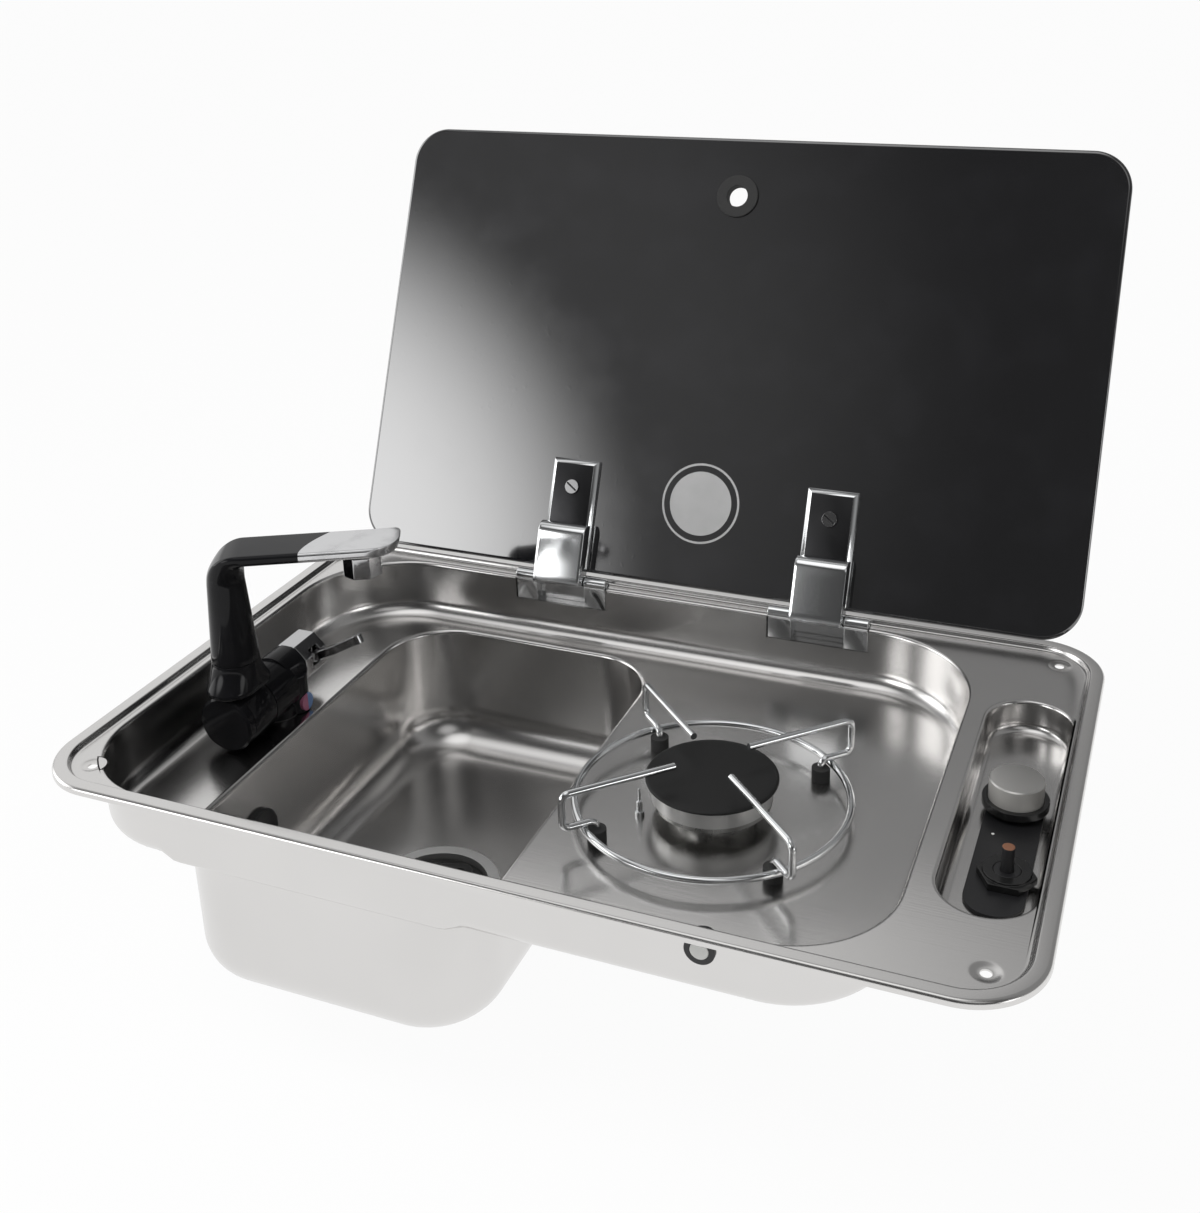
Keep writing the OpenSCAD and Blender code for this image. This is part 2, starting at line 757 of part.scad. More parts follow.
// Swivelling column with the black rear half of the spout.
module tap_column() {
    elbow_z = spout_z - 14;
    color(black) union() {
        difference() {
            translate([tap_x, column_y, seam_z + move_gap])
                cylinder(r1 = column_r, r2 = column_top_r, h = elbow_z - seam_z);
            translate([tap_x, column_y, seam_z - 1])
                cylinder(r = spigot_r + pin_gap, h = spigot_h + 1 + move_gap);
        }
        on_spout() hull() {
            translate([0, 0, elbow_z - 1]) cylinder(r = column_top_r - 0.3, h = 5, $fn = hull_fn);
            translate([1.5, 0, elbow_z + 9]) cylinder(r = column_top_r - 0.2, h = 2, $fn = hull_fn);
            translate([5.5, 0, spout_top - 5])
                cylinder(r1 = column_top_r + 0.8, r2 = column_top_r - 2, h = 4, $fn = hull_fn);
            translate([0, 0, spout_z + 0.2]) spout_slice(9, 13, spout_w - 0.8, spout_t - 0.4);
        }
        on_spout() translate([0, 0, spout_z]) difference() {
            spout_blade(12, spout_seam + spout_w / 2, spout_w, spout_t);
            seam_cut();
        }
    }
}

// A slice of the spout from x0 to x1, with its long edges rounded.
module spout_slice(x0, x1, w, t) {
    r = 2.5;
    for (s = [-1, 1]) {
        translate([x0, s * (w / 2 - r), t - r]) rotate([0, 90, 0]) cylinder(r = r, h = x1 - x0, $fn = 24);
        translate([x0, s * (w / 2 - r), r]) rotate([0, 90, 0]) cylinder(r = r, h = x1 - x0, $fn = 24);
    }
}

// The same slice as one solid with true rounds.
module spout_blade(x0, x1, w, t) {
    translate([x0, 0, 0]) rotate([90, 0, 90]) linear_extrude(x1 - x0) plan(-w / 2, 0, w / 2, t, 2.5, 2.5);
}

// Everything beyond the slanted seam between the spout's two halves.
module seam_cut() {
    translate([spout_seam, 0, -spout_t]) rotate([0, 0, -seam_turn])
        translate([0, -spout_l, 0]) cube([spout_l, 2 * spout_l, 3 * spout_t]);
}

// Chrome front half of the spout.
module spout_tip() {
    color(chrome) on_spout() translate([0, 0, spout_z]) intersection() {
        union() {
            hull() {
                spout_slice(spout_seam - spout_w / 2, spout_l - tip_r - 8, spout_w, spout_t);
                translate([spout_l - tip_r, tip_r - spout_w / 2, 1])
                    cylinder(r1 = tip_r - 4, r2 = tip_r - 0.2, h = spout_t - 1.2, $fn = 64);
                translate([spout_l - 7, spout_w / 2 - 7, 1])
                    cylinder(r1 = 4, r2 = 6.8, h = spout_t - 1.2, $fn = 32);
            }
            translate([aerator_out, 0, -2]) cylinder(r = aerator_r - 1, h = 5);
        }
        seam_cut();
    }
}

// Octagonal aerator under the spout's end.
module aerator() {
    color(chrome) on_spout() translate([aerator_out, 0, spout_z - 2 - aerator_h]) difference() {
        rotate([0, 0, 22.5]) cylinder(r = aerator_r, h = aerator_h, $fn = 8);
        translate([0, 0, -1]) cylinder(r = aerator_r - 4, h = 5);
    }
}

// Cartridge inside the mixing chamber.
module mixer_cartridge() {
    color(pale) union() {
        along_y([tap_x, mixer_y - 12, handle_z], 9.95, 12);
        along_y([tap_x, mixer_y - 1, handle_z], 5, 13);
    }
}

// Octagonal mixer handle on the cartridge's spindle.
module mixer_handle() {
    color(chrome) difference() {
        translate([tap_x, mixer_y + move_gap, handle_z]) rotate([-90, 0, 0])
            rotate([0, 0, 22.5]) cylinder(r = handle_r, h = handle_l, $fn = 8);
        along_y([tap_x, mixer_y - 1, handle_z], 5 + pin_gap, 14);
        translate([tap_x + 8, mixer_y + 9, handle_z - 2]) cube([12, 10, 12]);
    }
}

// Cranked flat lever in the handle's slot, with a round pad at its tip.
module mixer_lever() {
    bend = [19, 3];
    tip = [33, 13];
    half = 2.4;
    first = [-bend[1], bend[0]] / norm(bend);
    second = [bend[1] - tip[1], tip[0] - bend[0]] / norm(tip - bend);
    mitre = half * (first + second) / (1 + first * second);
    color(chrome) translate([tap_x + 12, mixer_y + 14, handle_z + 2.5]) union() {
        translate([0, 0, -3.6]) cylinder(r = 3.4, h = 7.2);
        rotate([0, -lever_rise, 0]) translate([0, 0, -2.2]) linear_extrude(4.4) union() {
            polygon([half * first, bend + mitre, tip + half * second, tip - half * second,
                bend - mitre, -half * first]);
            translate(tip) circle(3.2);
        }
    }
}

// Two-colour disc that marks hot and cold.
module temperature_disc() {
    color([0.35, 0.3, 0.7]) along_x([leg_x + disc_seat, leg_y, floor_z + disc_h], disc_r, 2.8);
}

// Soft gasket between the tap's foot and the tray.
module tap_gasket() {
    color(rubber) difference() {
        cylinder_at_z(tap_x, shank_y, floor_z, shank_r + 2, 0.6);
        cylinder_at_z(tap_x, shank_y, floor_z - 1, shank_r + 0.2, 3);
    }
}

// Backing nut under the tray.
module tap_nut() {
    color(brass) difference() {
        cylinder_at_z(tap_x, shank_y, tray_low - tap_nut_h, shank_r + 5, tap_nut_h, $fn = 6);
        cylinder_at_z(tap_x, shank_y, tray_low - tap_nut_h - 1, shank_r + pin_gap, tap_nut_h + 2);
    }
}

// Two rigid water tails out of the shank.
module water_tails() {
    color(brass) for (s = [-1, 1]) {
        cylinder_at_z(tap_x + s * tail_pitch, shank_y, tray_low - shank_l - tail_l + 24, tail_r, tail_l);
    }
}

// Steel waste flange with its sleeve and the seat for the plug.
module waste_flange() {
    color(steel) translate([waste_x, waste_y, 0]) difference() {
        union() {
            translate([0, 0, bowl_z]) cylinder(r = waste_r, h = 1.2);
            translate([0, 0, sleeve_low]) cylinder(r = sleeve_r + sleeve_t, h = bowl_z - sleeve_low + eps);
        }
        translate([0, 0, seat_z]) cylinder(r = sleeve_r, h = 30);
        translate([0, 0, sleeve_low - 1]) cylinder(r = seat_r, h = 30);
    }
}

// Gasket between the bowl and the waste's body.
module waste_gasket() {
    color(rubber) translate([waste_x, waste_y, bowl_z - sheet_t - 2]) difference() {
        cylinder(r = waste_r, h = 2);
        translate([0, 0, -1]) cylinder(r = sleeve_r + sleeve_t + hole_gap, h = 4);
    }
}

// Plastic waste body under the bowl, with its outlet.
module waste_body() {
    top = bowl_z - sheet_t - 2;
    color(rubber) translate([waste_x, waste_y, 0]) difference() {
        union() {
            translate([0, 0, body_low]) cylinder(r = waste_r, h = top - body_low);
            translate([0, 0, outlet_low]) cylinder(r = outlet_r, h = body_low - outlet_low + 1);
        }
        translate([0, 0, sleeve_low]) cylinder(r = sleeve_r + sleeve_t + pin_gap, h = 30);
        translate([0, 0, body_low + 3]) cylinder(r = sleeve_r - 2, h = 30);
        translate([0, 0, outlet_low - 1]) cylinder(r = outlet_r - outlet_t, h = 60);
    }
}

// Plug with its finger grip.
module waste_plug() {
    low = seat_z + seal_t;
    color(black) translate([waste_x, waste_y, 0]) union() {
        translate([0, 0, low]) cylinder(r = plug_r, h = plug_t);
        translate([0, 0, low - 6]) cylinder(r = 8, h = 7);
        rotate([0, 0, grip_turn]) difference() {
            prism_of(-grip_w / 2, -grip_l / 2, grip_w / 2, grip_l / 2, 7, 7, low + plug_t - eps,
                low + plug_t + grip_h + 3);
            prism_of(-grip_w / 2 + 5, -grip_l / 2 + 5, grip_w / 2 - 5, grip_l / 2 - 5, 4, 4,
                low + plug_t + 2, low + plug_t + grip_h + 10);
        }
    }
}

// Rubber seal under the plug.
module plug_seal() {
    color(rubber) translate([waste_x, waste_y, seat_z]) difference() {
        cylinder(r = plug_r + 0.5, h = seal_t);
        translate([0, 0, -1]) cylinder(r = seat_r - 1, h = seal_t + 2);
    }
}

// Cover of the overflow on the bowl's left wall.
module overflow_cover() {
    color(black) difference() {
        union() {
            along_x([bowl_x0, overflow_y, overflow_z], overflow_r, overflow_t - 1);
            translate([bowl_x0 + overflow_t - 1 - eps, overflow_y, overflow_z]) rotate([0, 90, 0])
                cylinder(r1 = overflow_r, r2 = overflow_r - 2, h = 1);
            along_x([bowl_x0 - 6, overflow_y, overflow_z], neck_r, 7);
        }
        for (a = [0 : 60 : 300]) {
            along_x([bowl_x0 - 10, overflow_y + 5.5 * cos(a), overflow_z + 5.5 * sin(a)], 1.8, 30);
        }
    }
}

// Elbow behind the bowl's wall that leads the overflow down.
module overflow_elbow() {
    back = bowl_x0 - sheet_t - 14;
    color(rubber) difference() {
        union() {
            along_x([back, overflow_y, overflow_z], neck_r + 3, 14);
            cylinder_at_z(back + 4, overflow_y, overflow_z - 30, 7, 30);
        }
        along_x([back + 3, overflow_y, overflow_z], neck_r + pin_gap, 20);
        cylinder_at_z(back + 4, overflow_y, overflow_z - 31, 5, 32);
    }
}

// Black fitting through the tray's front wall.
module wall_grommet() {
    y = tray_y0;
    color(black) difference() {
        union() {
            along_y([grommet_x, y - sheet_t - 1.6, grommet_z], 8.5, 1.6);
            along_y([grommet_x, y - sheet_t - 1, grommet_z], grommet_hole, sheet_t + 2);
            along_y([grommet_x, y, grommet_z], 8.5, 7);
            translate([grommet_x, y + 7, grommet_z]) rotate([-90, 0, 0])
                cylinder(r1 = 8.5, r2 = 5.5, h = 4);
        }
        along_y([grommet_x, y - sheet_t - 2, grommet_z], 5.2, 3);
    }
}

// Plain pale disc in the outside of that fitting.
module grommet_disc() {
    color(pale) along_y([grommet_x, tray_y0 - sheet_t - 1.8, grommet_z], 5.15, 2.8);
}

// Burner cup with the stem that passes through the tray.
module burner_cup() {
    color(black) difference() {
        union() {
            cylinder_at_z(burner_x, burner_y, cup_z - cup_t, crown_r - 0.5, cup_t);
            cylinder_at_z(burner_x, burner_y, floor_z, stem_r + 6, cup_z - cup_t - floor_z);
            cylinder_at_z(burner_x, burner_y, stem_low, stem_r, floor_z - stem_low + 1);
        }
        cylinder_at_z(burner_x, burner_y, stem_low + 6, stem_r - 6, 60);
        along_x([burner_x, burner_y, tube_z], tube_r + pin_gap, stem_r + 5);
    }
}

// Chrome crown with the flame ports.
module burner_ring() {
    color(chrome) difference() {
        cylinder_at_z(burner_x, burner_y, cup_z, crown_r, crown_h);
        cylinder_at_z(burner_x, burner_y, cup_z - 1, crown_r - 5, crown_h + 2);
        for (a = [0 : 20 : 340]) {
            translate([burner_x, burner_y, crown_z - 1.6]) rotate([0, 0, a])
                translate([crown_r - 8, -0.8, 0]) cube([10, 1.6, 3]);
        }
    }
}

// Enamelled cap that lifts off the crown.
module burner_cap() {
    color(black) union() {
        cylinder_at_z(burner_x, burner_y, crown_z, cap_r, cap_t - 0.8);
        translate([burner_x, burner_y, cap_z - 0.8 - eps])
            cylinder(r1 = cap_r, r2 = cap_r - 1.4, h = 0.8);
        cylinder_at_z(burner_x, burner_y, crown_z - 3, crown_r - 5.4, 4);
    }
}

// Spark electrode in its ceramic.
module spark_electrode() {
    color(pale) union() {
        cylinder_at_z(electrode_x, electrode_y, tray_low - 12, 2, 12 + sheet_t + 10);
        cylinder_at_z(electrode_x, electrode_y, floor_z, 3, 3);
        cylinder_at_z(electrode_x, electrode_y, floor_z + 9, 0.9, 10);
    }
}

// Thermocouple on the burner's far side.
module thermocouple() {
    color(brass) union() {
        cylinder_at_z(thermo_x, thermo_y, tray_low - 14, 2, 14 + sheet_t + 14);
        cylinder_at_z(thermo_x, thermo_y, floor_z, 3.4, 3);
    }
}

// Mixing tube under the tray, from the injector into the burner's stem.
module mixing_tube() {
    x0 = burner_x + stem_r - 8;
    color(steel) difference() {
        along_x([x0, burner_y, tube_z], tube_r, injector_x - x0);
        along_x([x0 - 1, burner_y, tube_z], tube_r - 1.5, injector_x - x0 - 7);
        cylinder_at_z(injector_x - 14, burner_y, tube_z - 20, 3, 40);
    }
}

// Brass injector at the end of the mixing tube.
module gas_injector() {
    color(brass) union() {
        along_x([injector_x, burner_y, tube_z], 6.5, 10, $fn = 6);
        along_x([injector_x + 9, burner_y, tube_z], pipe_r + 1.5, 8);
    }
}

// Backing nut that holds the burner to the tray.
module burner_nut() {
    color(steel) difference() {
        cylinder_at_z(burner_x, burner_y, tray_low - 5, stem_r + 8, 5, $fn = 6);
        cylinder_at_z(burner_x, burner_y, tray_low - 6, stem_r + pin_gap, 8);
    }
}

// Rigid pipe from the valve to the injector.
module gas_pipe() {
    color(chrome) translate([0, burner_y, 0]) rotate([90, 0, 0])
        flat_wire([[knob_x, valve_low], [knob_x, gas_z], [injector_x + 17, gas_z]], pipe_r, pipe_r + 3);
}

// Rigid gas inlet behind the valve.
module gas_inlet() {
    y0 = knob_y + valve_l / 2;
    color(chrome) along_y([knob_x, y0, valve_low + 12], pipe_r, inlet_end - y0);
}

// Wire ring of the trivet.
module trivet_ring() {
    color(chrome) translate([burner_x, burner_y, ring_z]) rotate_extrude()
        translate([trivet_r, 0]) circle(ring_wire, $fn = 32);
}

// Four bent wire arms welded across the ring.
module trivet_arms() {
    color(chrome) for (a = [45 : 90 : 315]) {
        translate([burner_x, burner_y, 0]) rotate([0, 0, a]) union() {
            rotate([90, 0, 0]) flat_wire([[foot_circle, leg_low], [foot_circle, arm_low], [arm_out, arm_low],
                [arm_out, arm_top], [arm_in, arm_top]], arm_wire, 5);
            translate([arm_in, 0, arm_top]) rotate([0, -90, 0])
                cylinder(r1 = arm_wire, r2 = arm_wire - 0.8, h = 0.8);
        }
    }
}

// Four rubber feet that the trivet's legs stand in.
module trivet_feet() {
    color(rubber) for (a = [45 : 90 : 315]) {
        translate([burner_x, burner_y, floor_z]) rotate([0, 0, a])
            translate([foot_circle, 0, 0]) difference() {
            cylinder(r = foot_r, h = foot_h);
            translate([0, 0, leg_low - floor_z]) cylinder(r = arm_wire + pin_gap, h = foot_h);
            translate([trivet_r - foot_circle - ring_wire - 0.4, -20, ring_up - ring_wire - 0.4])
                cube([20, 40, 20]);
        }
    }
}

module plate_plan() {
    plan(plate_x - plate_w / 2, plate_y0, plate_x + plate_w / 2, plate_y0 + plate_l,
        plate_w / 2 - 0.5, plate_w / 2 - 0.5);
}

// Black plate on the trough's floor.
module control_plate() {
    color(black) difference() {
        translate([0, 0, trough_z]) linear_extrude(plate_t) plate_plan();
        cylinder_at_z(knob_x, knob_y, trough_z - 1, spindle_r + 1.5, plate_t + 2);
        cylinder_at_z(igniter_x, igniter_y, trough_z - 1, neck_of_igniter + 0.3, plate_t + 2);
    }
}

// Gas valve under the trough.
module gas_valve() {
    z1 = trough_z - sheet_t;
    color(brass) difference() {
        translate([knob_x - valve_w / 2, knob_y - valve_l / 2, valve_low])
            cube([valve_w, valve_l, z1 - valve_low]);
        cylinder_at_z(knob_x, knob_y, valve_low + 4, plug_of_valve_r + pin_gap, z1 - valve_low - 6);
        cylinder_at_z(knob_x, knob_y, valve_low + 4, spindle_r + 1.5, 60);
    }
}

// Turning plug inside the valve.
module valve_plug() {
    color(steel) difference() {
        cylinder_at_z(knob_x, knob_y, valve_low + 4.3, plug_of_valve_r, trough_z - sheet_t - valve_low - 6.6);
        cylinder_at_z(knob_x, knob_y, valve_low + 8, spindle_r + pin_gap, 60);
    }
}

// Spindle that turns the plug and pushes through it.
module valve_spindle() {
    z0 = valve_low + 8 + knob_push + 1;
    color(steel) cylinder_at_z(knob_x, knob_y, z0, spindle_r, knob_seat - z0 + 6);
}

// Black skirt of the knob.
module knob_skirt() {
    color(black) difference() {
        union() {
            cylinder_at_z(knob_x, knob_y, skirt_low, skirt_r - 1, 1);
            cylinder_at_z(knob_x, knob_y, skirt_low + 1 - eps, skirt_r, skirt_h - 1);
        }
        cylinder_at_z(knob_x, knob_y, knob_seat, knob_r + pin_gap, 20);
        cylinder_at_z(knob_x, knob_y, skirt_low - 1, spindle_r + pin_gap, 20);
    }
}

// Silver cap of the knob.
module knob_cap() {
    color(chrome) difference() {
        union() {
            cylinder_at_z(knob_x, knob_y, knob_seat, knob_r, knob_top - knob_seat - 0.8);
            translate([knob_x, knob_y, knob_top - 0.8 - eps])
                cylinder(r1 = knob_r, r2 = knob_r - 0.8, h = 0.8);
        }
        cylinder_at_z(knob_x, knob_y, knob_seat - 1, spindle_r + pin_gap, 7);
    }
}

// Igniter body under the trough, with its threaded neck.
module igniter_body() {
    z1 = trough_z - sheet_t;
    top = plate_top + igniter_nut_h;
    color(black) difference() {
        union() {
            cylinder_at_z(igniter_x, igniter_y, z1 - 38, 11, 38);
            cylinder_at_z(igniter_x, igniter_y, z1 - 1, neck_of_igniter, top - z1 + 1);
        }
        cylinder_at_z(igniter_x, igniter_y, top - 16, button_r + pin_gap, 20);
    }
}

// Hexagonal nut on the igniter's neck.
module igniter_nut() {
    color(black) difference() {
        union() {
            cylinder_at_z(igniter_x, igniter_y, plate_top, nut_r, igniter_nut_h - 1.5, $fn = 6);
            cylinder_at_z(igniter_x, igniter_y, plate_top, nut_r - 3.2, igniter_nut_h);
        }
        cylinder_at_z(igniter_x, igniter_y, plate_top - 1, neck_of_igniter + pin_gap, igniter_nut_h + 2);
    }
}

// Igniter button.
module igniter_button() {
    low = plate_top + igniter_nut_h - 16 + button_push + 0.5;
    color(black) union() {
        cylinder_at_z(igniter_x, igniter_y, low, button_r, button_top - 0.6 - low);
        translate([igniter_x, igniter_y, button_top - 0.6 - eps])
            cylinder(r1 = button_r, r2 = button_r - 0.6, h = 0.6);
    }
}

// Glass of the lid.
module lid_glass() {
    color([0.04, 0.04, 0.05]) on_lid() difference() {
        translate([0, -lid_back - lid_d / 2, lid_rise]) linear_extrude(glass_t)
            plan(-lid_w / 2, -lid_d / 2, lid_w / 2, lid_d / 2, lid_r, lid_r);
        translate([0, finger_y(), lid_rise - 1]) cylinder(r = grommet_r - 3, h = glass_t + 2);
        for (s = [-1, 1]) {
            translate([s * hinge_x, screw_y(), lid_rise - 1]) cylinder(r = 4, h = glass_t + 2);
        }
    }
}

function finger_y() = -lid_back - lid_d + finger_in;
function screw_y() = -lid_back - glass_screw_v;

// Grommet in the finger hole.
module lid_grommet() {
    color(rubber) on_lid() translate([0, finger_y(), lid_rise]) difference() {
        union() {
            translate([0, 0, -2]) cylinder(r = grommet_r, h = 2);
            translate([0, 0, -1]) cylinder(r = grommet_r - 3 - pin_gap, h = glass_t + 2);
            translate([0, 0, glass_t]) cylinder(r = grommet_r, h = 1.5);
        }
        translate([0, 0, -3]) cylinder(r = finger_r, h = glass_t + 8);
    }
}

// Hinge base: two cheeks with knuckles on a back plate, let into the tray's pocket.
module hinge_base(x) {
    cheek = base_half - arm_w / 2 - 2 * move_gap;
    color(chrome) translate([x, hinge_y, hinge_z]) difference() {
        union() {
            for (s = [-1, 1]) {
                translate([s > 0 ? base_half - cheek : -base_half, -3.4, -base_drop])
                    cube([cheek, base_back + 3.4, base_drop]);
                along_x([s > 0 ? base_half - cheek : -base_half, 0, 0], knuckle_r, cheek);
            }
            translate([-base_half, base_back - 1.2, -base_drop]) cube([2 * base_half, 1.2, base_drop - 6]);
        }
        along_x([-base_half - 1, 0, 0], hinge_pin_r + pin_gap, 2 * base_half + 2);
    }
}

// Hinge arm: knuckle and plate clamped to the glass.
module hinge_arm(x) {
    top = lid_rise;
    color(chrome) on_lid() translate([x, 0, 0]) difference() {
        union() {
            along_x([-arm_w / 2, 0, 0], knuckle_r, arm_w);
            translate([-arm_w / 2, -lid_back - 2, top - arm_plate_t])
                cube([arm_w, lid_back + 2, arm_plate_t - 1]);
            translate([-arm_w / 2, -lid_back - arm_plate_l, top - arm_plate_t])
                cube([arm_w, arm_plate_l, arm_plate_t]);
        }
        along_x([-arm_w, 0, 0], hinge_pin_r + pin_gap, 2 * arm_w);
        translate([0, screw_y(), -20]) cylinder(r = 2.5, h = 40);
    }
}

// Cover over the arm's root, a shell open towards the arm.
module hinge_cover(x) {
    top = lid_rise - arm_plate_t;
    low = lid_rise - cover_h;
    y0 = cover_tail;
    y1 = cover_tail - cover_l;
    r = min(5.5, (cover_h - arm_plate_t) / 2 - 0.2);
    color(chrome) on_lid() translate([x - arm_w / 2, 0, 0]) difference() {
        cover_form(arm_w, y0, y1, low, top, r);
        translate([cover_t, 0, 0]) cover_form(arm_w - 2 * cover_t, y0 - cover_t, y1 + 0.5 * cover_t,
            low + cover_t, top + 10, r - cover_t);
        along_x([-1, 0, 0], knuckle_r + 0.2, arm_w + 2);
    }
}

// Side outline of the cover, with one rounded shoulder, drawn out along X.
module cover_form(w, y0, y1, low, top, r) {
    h = top - low;
    union() {
        translate([0, y1, low]) cube([w, y0 - y1, h]);
        translate([0, y1 - r, low + r]) cube([w, r + eps, h - r]);
        along_x([0, y1, low + r], r, w);
    }
}

// Hinge pins.
module hinge_pins() {
    color(steel) for (s = [-1, 1]) {
        along_x([s * hinge_x - base_half + 1, hinge_y, hinge_z], hinge_pin_r, 2 * base_half - 2);
    }
}

// Screws that clamp the arms to the glass.
module glass_screws() {
    top = lid_rise;
    color(steel) on_lid() for (s = [-1, 1]) {
        translate([s * hinge_x, screw_y(), 0]) union() {
            translate([0, 0, top - arm_plate_t - 1.6]) cylinder(r = screw_r, h = 1.6);
            translate([0, 0, top - arm_plate_t - 1]) cylinder(r = 2.4, h = arm_plate_t + glass_t + 2);
            translate([0, 0, lid_rise + glass_t]) cylinder(r = 8, h = 1.6);
        }
    }
}
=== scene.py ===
"""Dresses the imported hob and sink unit: pressed steel, black tap, wire trivet and dark glass lid."""

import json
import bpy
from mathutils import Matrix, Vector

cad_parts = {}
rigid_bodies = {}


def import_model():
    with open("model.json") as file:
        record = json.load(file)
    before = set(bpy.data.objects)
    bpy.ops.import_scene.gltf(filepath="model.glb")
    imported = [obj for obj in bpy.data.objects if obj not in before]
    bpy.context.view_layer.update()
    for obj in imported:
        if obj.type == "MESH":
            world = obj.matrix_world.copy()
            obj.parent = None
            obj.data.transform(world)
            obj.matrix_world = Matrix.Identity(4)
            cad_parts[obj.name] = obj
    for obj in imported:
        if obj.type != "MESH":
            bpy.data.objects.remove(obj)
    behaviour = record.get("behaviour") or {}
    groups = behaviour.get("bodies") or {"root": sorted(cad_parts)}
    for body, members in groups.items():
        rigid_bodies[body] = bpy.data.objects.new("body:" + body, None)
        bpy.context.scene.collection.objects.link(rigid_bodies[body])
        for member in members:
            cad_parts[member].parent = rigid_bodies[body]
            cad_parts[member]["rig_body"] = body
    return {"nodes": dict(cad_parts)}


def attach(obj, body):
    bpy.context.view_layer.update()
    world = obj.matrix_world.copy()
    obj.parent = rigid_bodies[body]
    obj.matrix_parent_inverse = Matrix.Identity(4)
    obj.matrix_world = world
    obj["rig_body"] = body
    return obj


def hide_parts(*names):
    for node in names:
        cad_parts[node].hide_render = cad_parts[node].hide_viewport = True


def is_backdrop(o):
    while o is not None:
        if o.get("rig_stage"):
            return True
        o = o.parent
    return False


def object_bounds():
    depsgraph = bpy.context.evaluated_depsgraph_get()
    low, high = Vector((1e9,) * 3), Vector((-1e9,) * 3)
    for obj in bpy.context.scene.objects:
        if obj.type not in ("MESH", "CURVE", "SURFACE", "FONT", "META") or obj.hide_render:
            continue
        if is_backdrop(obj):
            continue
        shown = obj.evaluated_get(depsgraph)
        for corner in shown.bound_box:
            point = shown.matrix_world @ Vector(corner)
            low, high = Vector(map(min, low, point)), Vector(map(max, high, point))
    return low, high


bl_info = {
    "name": "Hob and Sink Dresser",
    "version": (1, 0, 0),
    "blender": (4, 5, 0),
    "location": "3D View > Sidebar > Hob and Sink",
    "description": "Builds the visible pieces of a drop-in hob and sink over its packed frame",
    "category": "Object",
}

from math import copysign, cos, radians, sin, sqrt, tau

import bmesh
import bpy
from bpy.types import Operator, Panel, PropertyGroup
from mathutils import Matrix, Vector

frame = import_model()
NODES = frame["nodes"]
MM = 0.001

# The pressed sheet, in millimetres. A box is (left, front, right, back, front radius, back radius).
FLANGE = (-300.0, -190.0, 300.0, 190.0, 44.0, 44.0)
RIM_H = 4.5
RIM_W = 10.0
RIM_LIP = 2.5
SHEET = 1.0
HOLE_AT = (270.0, 161.0)
TRAY = (-282.5, -176.0, 219.5, 169.0, 62.0, 76.0)
TRAY_FLOOR = -43.0
TRAY_FILLET = 12.0
TRAY_FILLET_FRONT = 2.15
BOWL = (-217.5, -172.0, -12.5, 148.0, 48.0, 48.0)
BOWL_FLOOR = -138.0
BOWL_FILLET = 28.0
TROUGH = (234.0, -119.0, 287.0, 106.0, 26.5, 26.5)
TROUGH_FLOOR = -20.0
TROUGH_FILLET = 6.0

# The lid and its hinges, in the lid's own frame: X along the hinge, -Y away from it, -Z inside the lid.
HINGE_X = 101.0
HINGE_AT = (172.5, 2.6)
POCKET_HALF = 37.5
LID_OPEN = 113.9
GLASS = (-280.25, -349.0, 280.25, -8.0, 28.0, 28.0)
GLASS_LOW = 2.5
GLASS_THICK = 5.0
FINGER_HOLE = (0.0, -304.5, 13.0)
SCREW_Y = -71.7
ARM_HALF = 19.0
ARM_FRONT = -3.5
ARM_FAR = -93.0
ARM_CHAMFER = 3.6
COVER_FRONT = -15.1
COVER_SLOPE = 1.4
SLOT_FLOOR = -4.3
PRINT_AT = (1.1, -71.2)

# Places of the other pieces.
BURNER = (82.5, -15.0)
WASTE = (-110.0, -32.0)
TAP = (-245.0, -44.5, -21.5)
SHANK_Y = -6.0
ELECTRODE = (42.0, -36.0)
THERMOCOUPLE = (63.5, 28.0)
KNOB = (262.0, 10.5)
IGNITER = (266.5, -58.0)
PLATE_DOT = (253.5, -18.8)
RING_R = 85.7
RING_Z = -33.0
ARM_EXTRA = 0.3

# The tap: its blade's middle height, half thickness and width, the elbow's start, outer bend and radius, and
# the column's foot, radius and taper per millimetre.
SPOUT_TURN = 28.0
LEVER_RISE, LEVER_AT = 23.0, (-233.0, 26.0, -13.0)
SPOUT_MIDDLE, SPOUT_HALF, SPOUT_WIDTH = 97.0, 3.5, 36.0
ELBOW_Z, ELBOW_ARC, ELBOW_R = 76.5, 24.0, 12.45
COLUMN_Z, COLUMN_R, COLUMN_TAPER = 20.7, 16.0, 3.6 / 59.5

# Camera fitted to the photograph: focal length in pixels of a frame 1200 wide.
FRAME_PX = (1200.0, 1213.0)
FOCAL_PX = 1470.4
CENTRE_PX = (609.6, 444.0)
CAMERA_AT = (0.330374, -0.760891, 0.490408)
CAMERA_TURN = (22.6, 20.2, -1.6)


# ---- Sizes and colours that a user may change


def length(name, description, default, low, high):
    return bpy.props.FloatProperty(name=name, description=description, default=default, min=low, max=high,
                                   unit="LENGTH")


def colour(name, description, default):
    return bpy.props.FloatVectorProperty(name=name, description=description, default=default, min=0, max=1,
                                         size=3, subtype="COLOR")


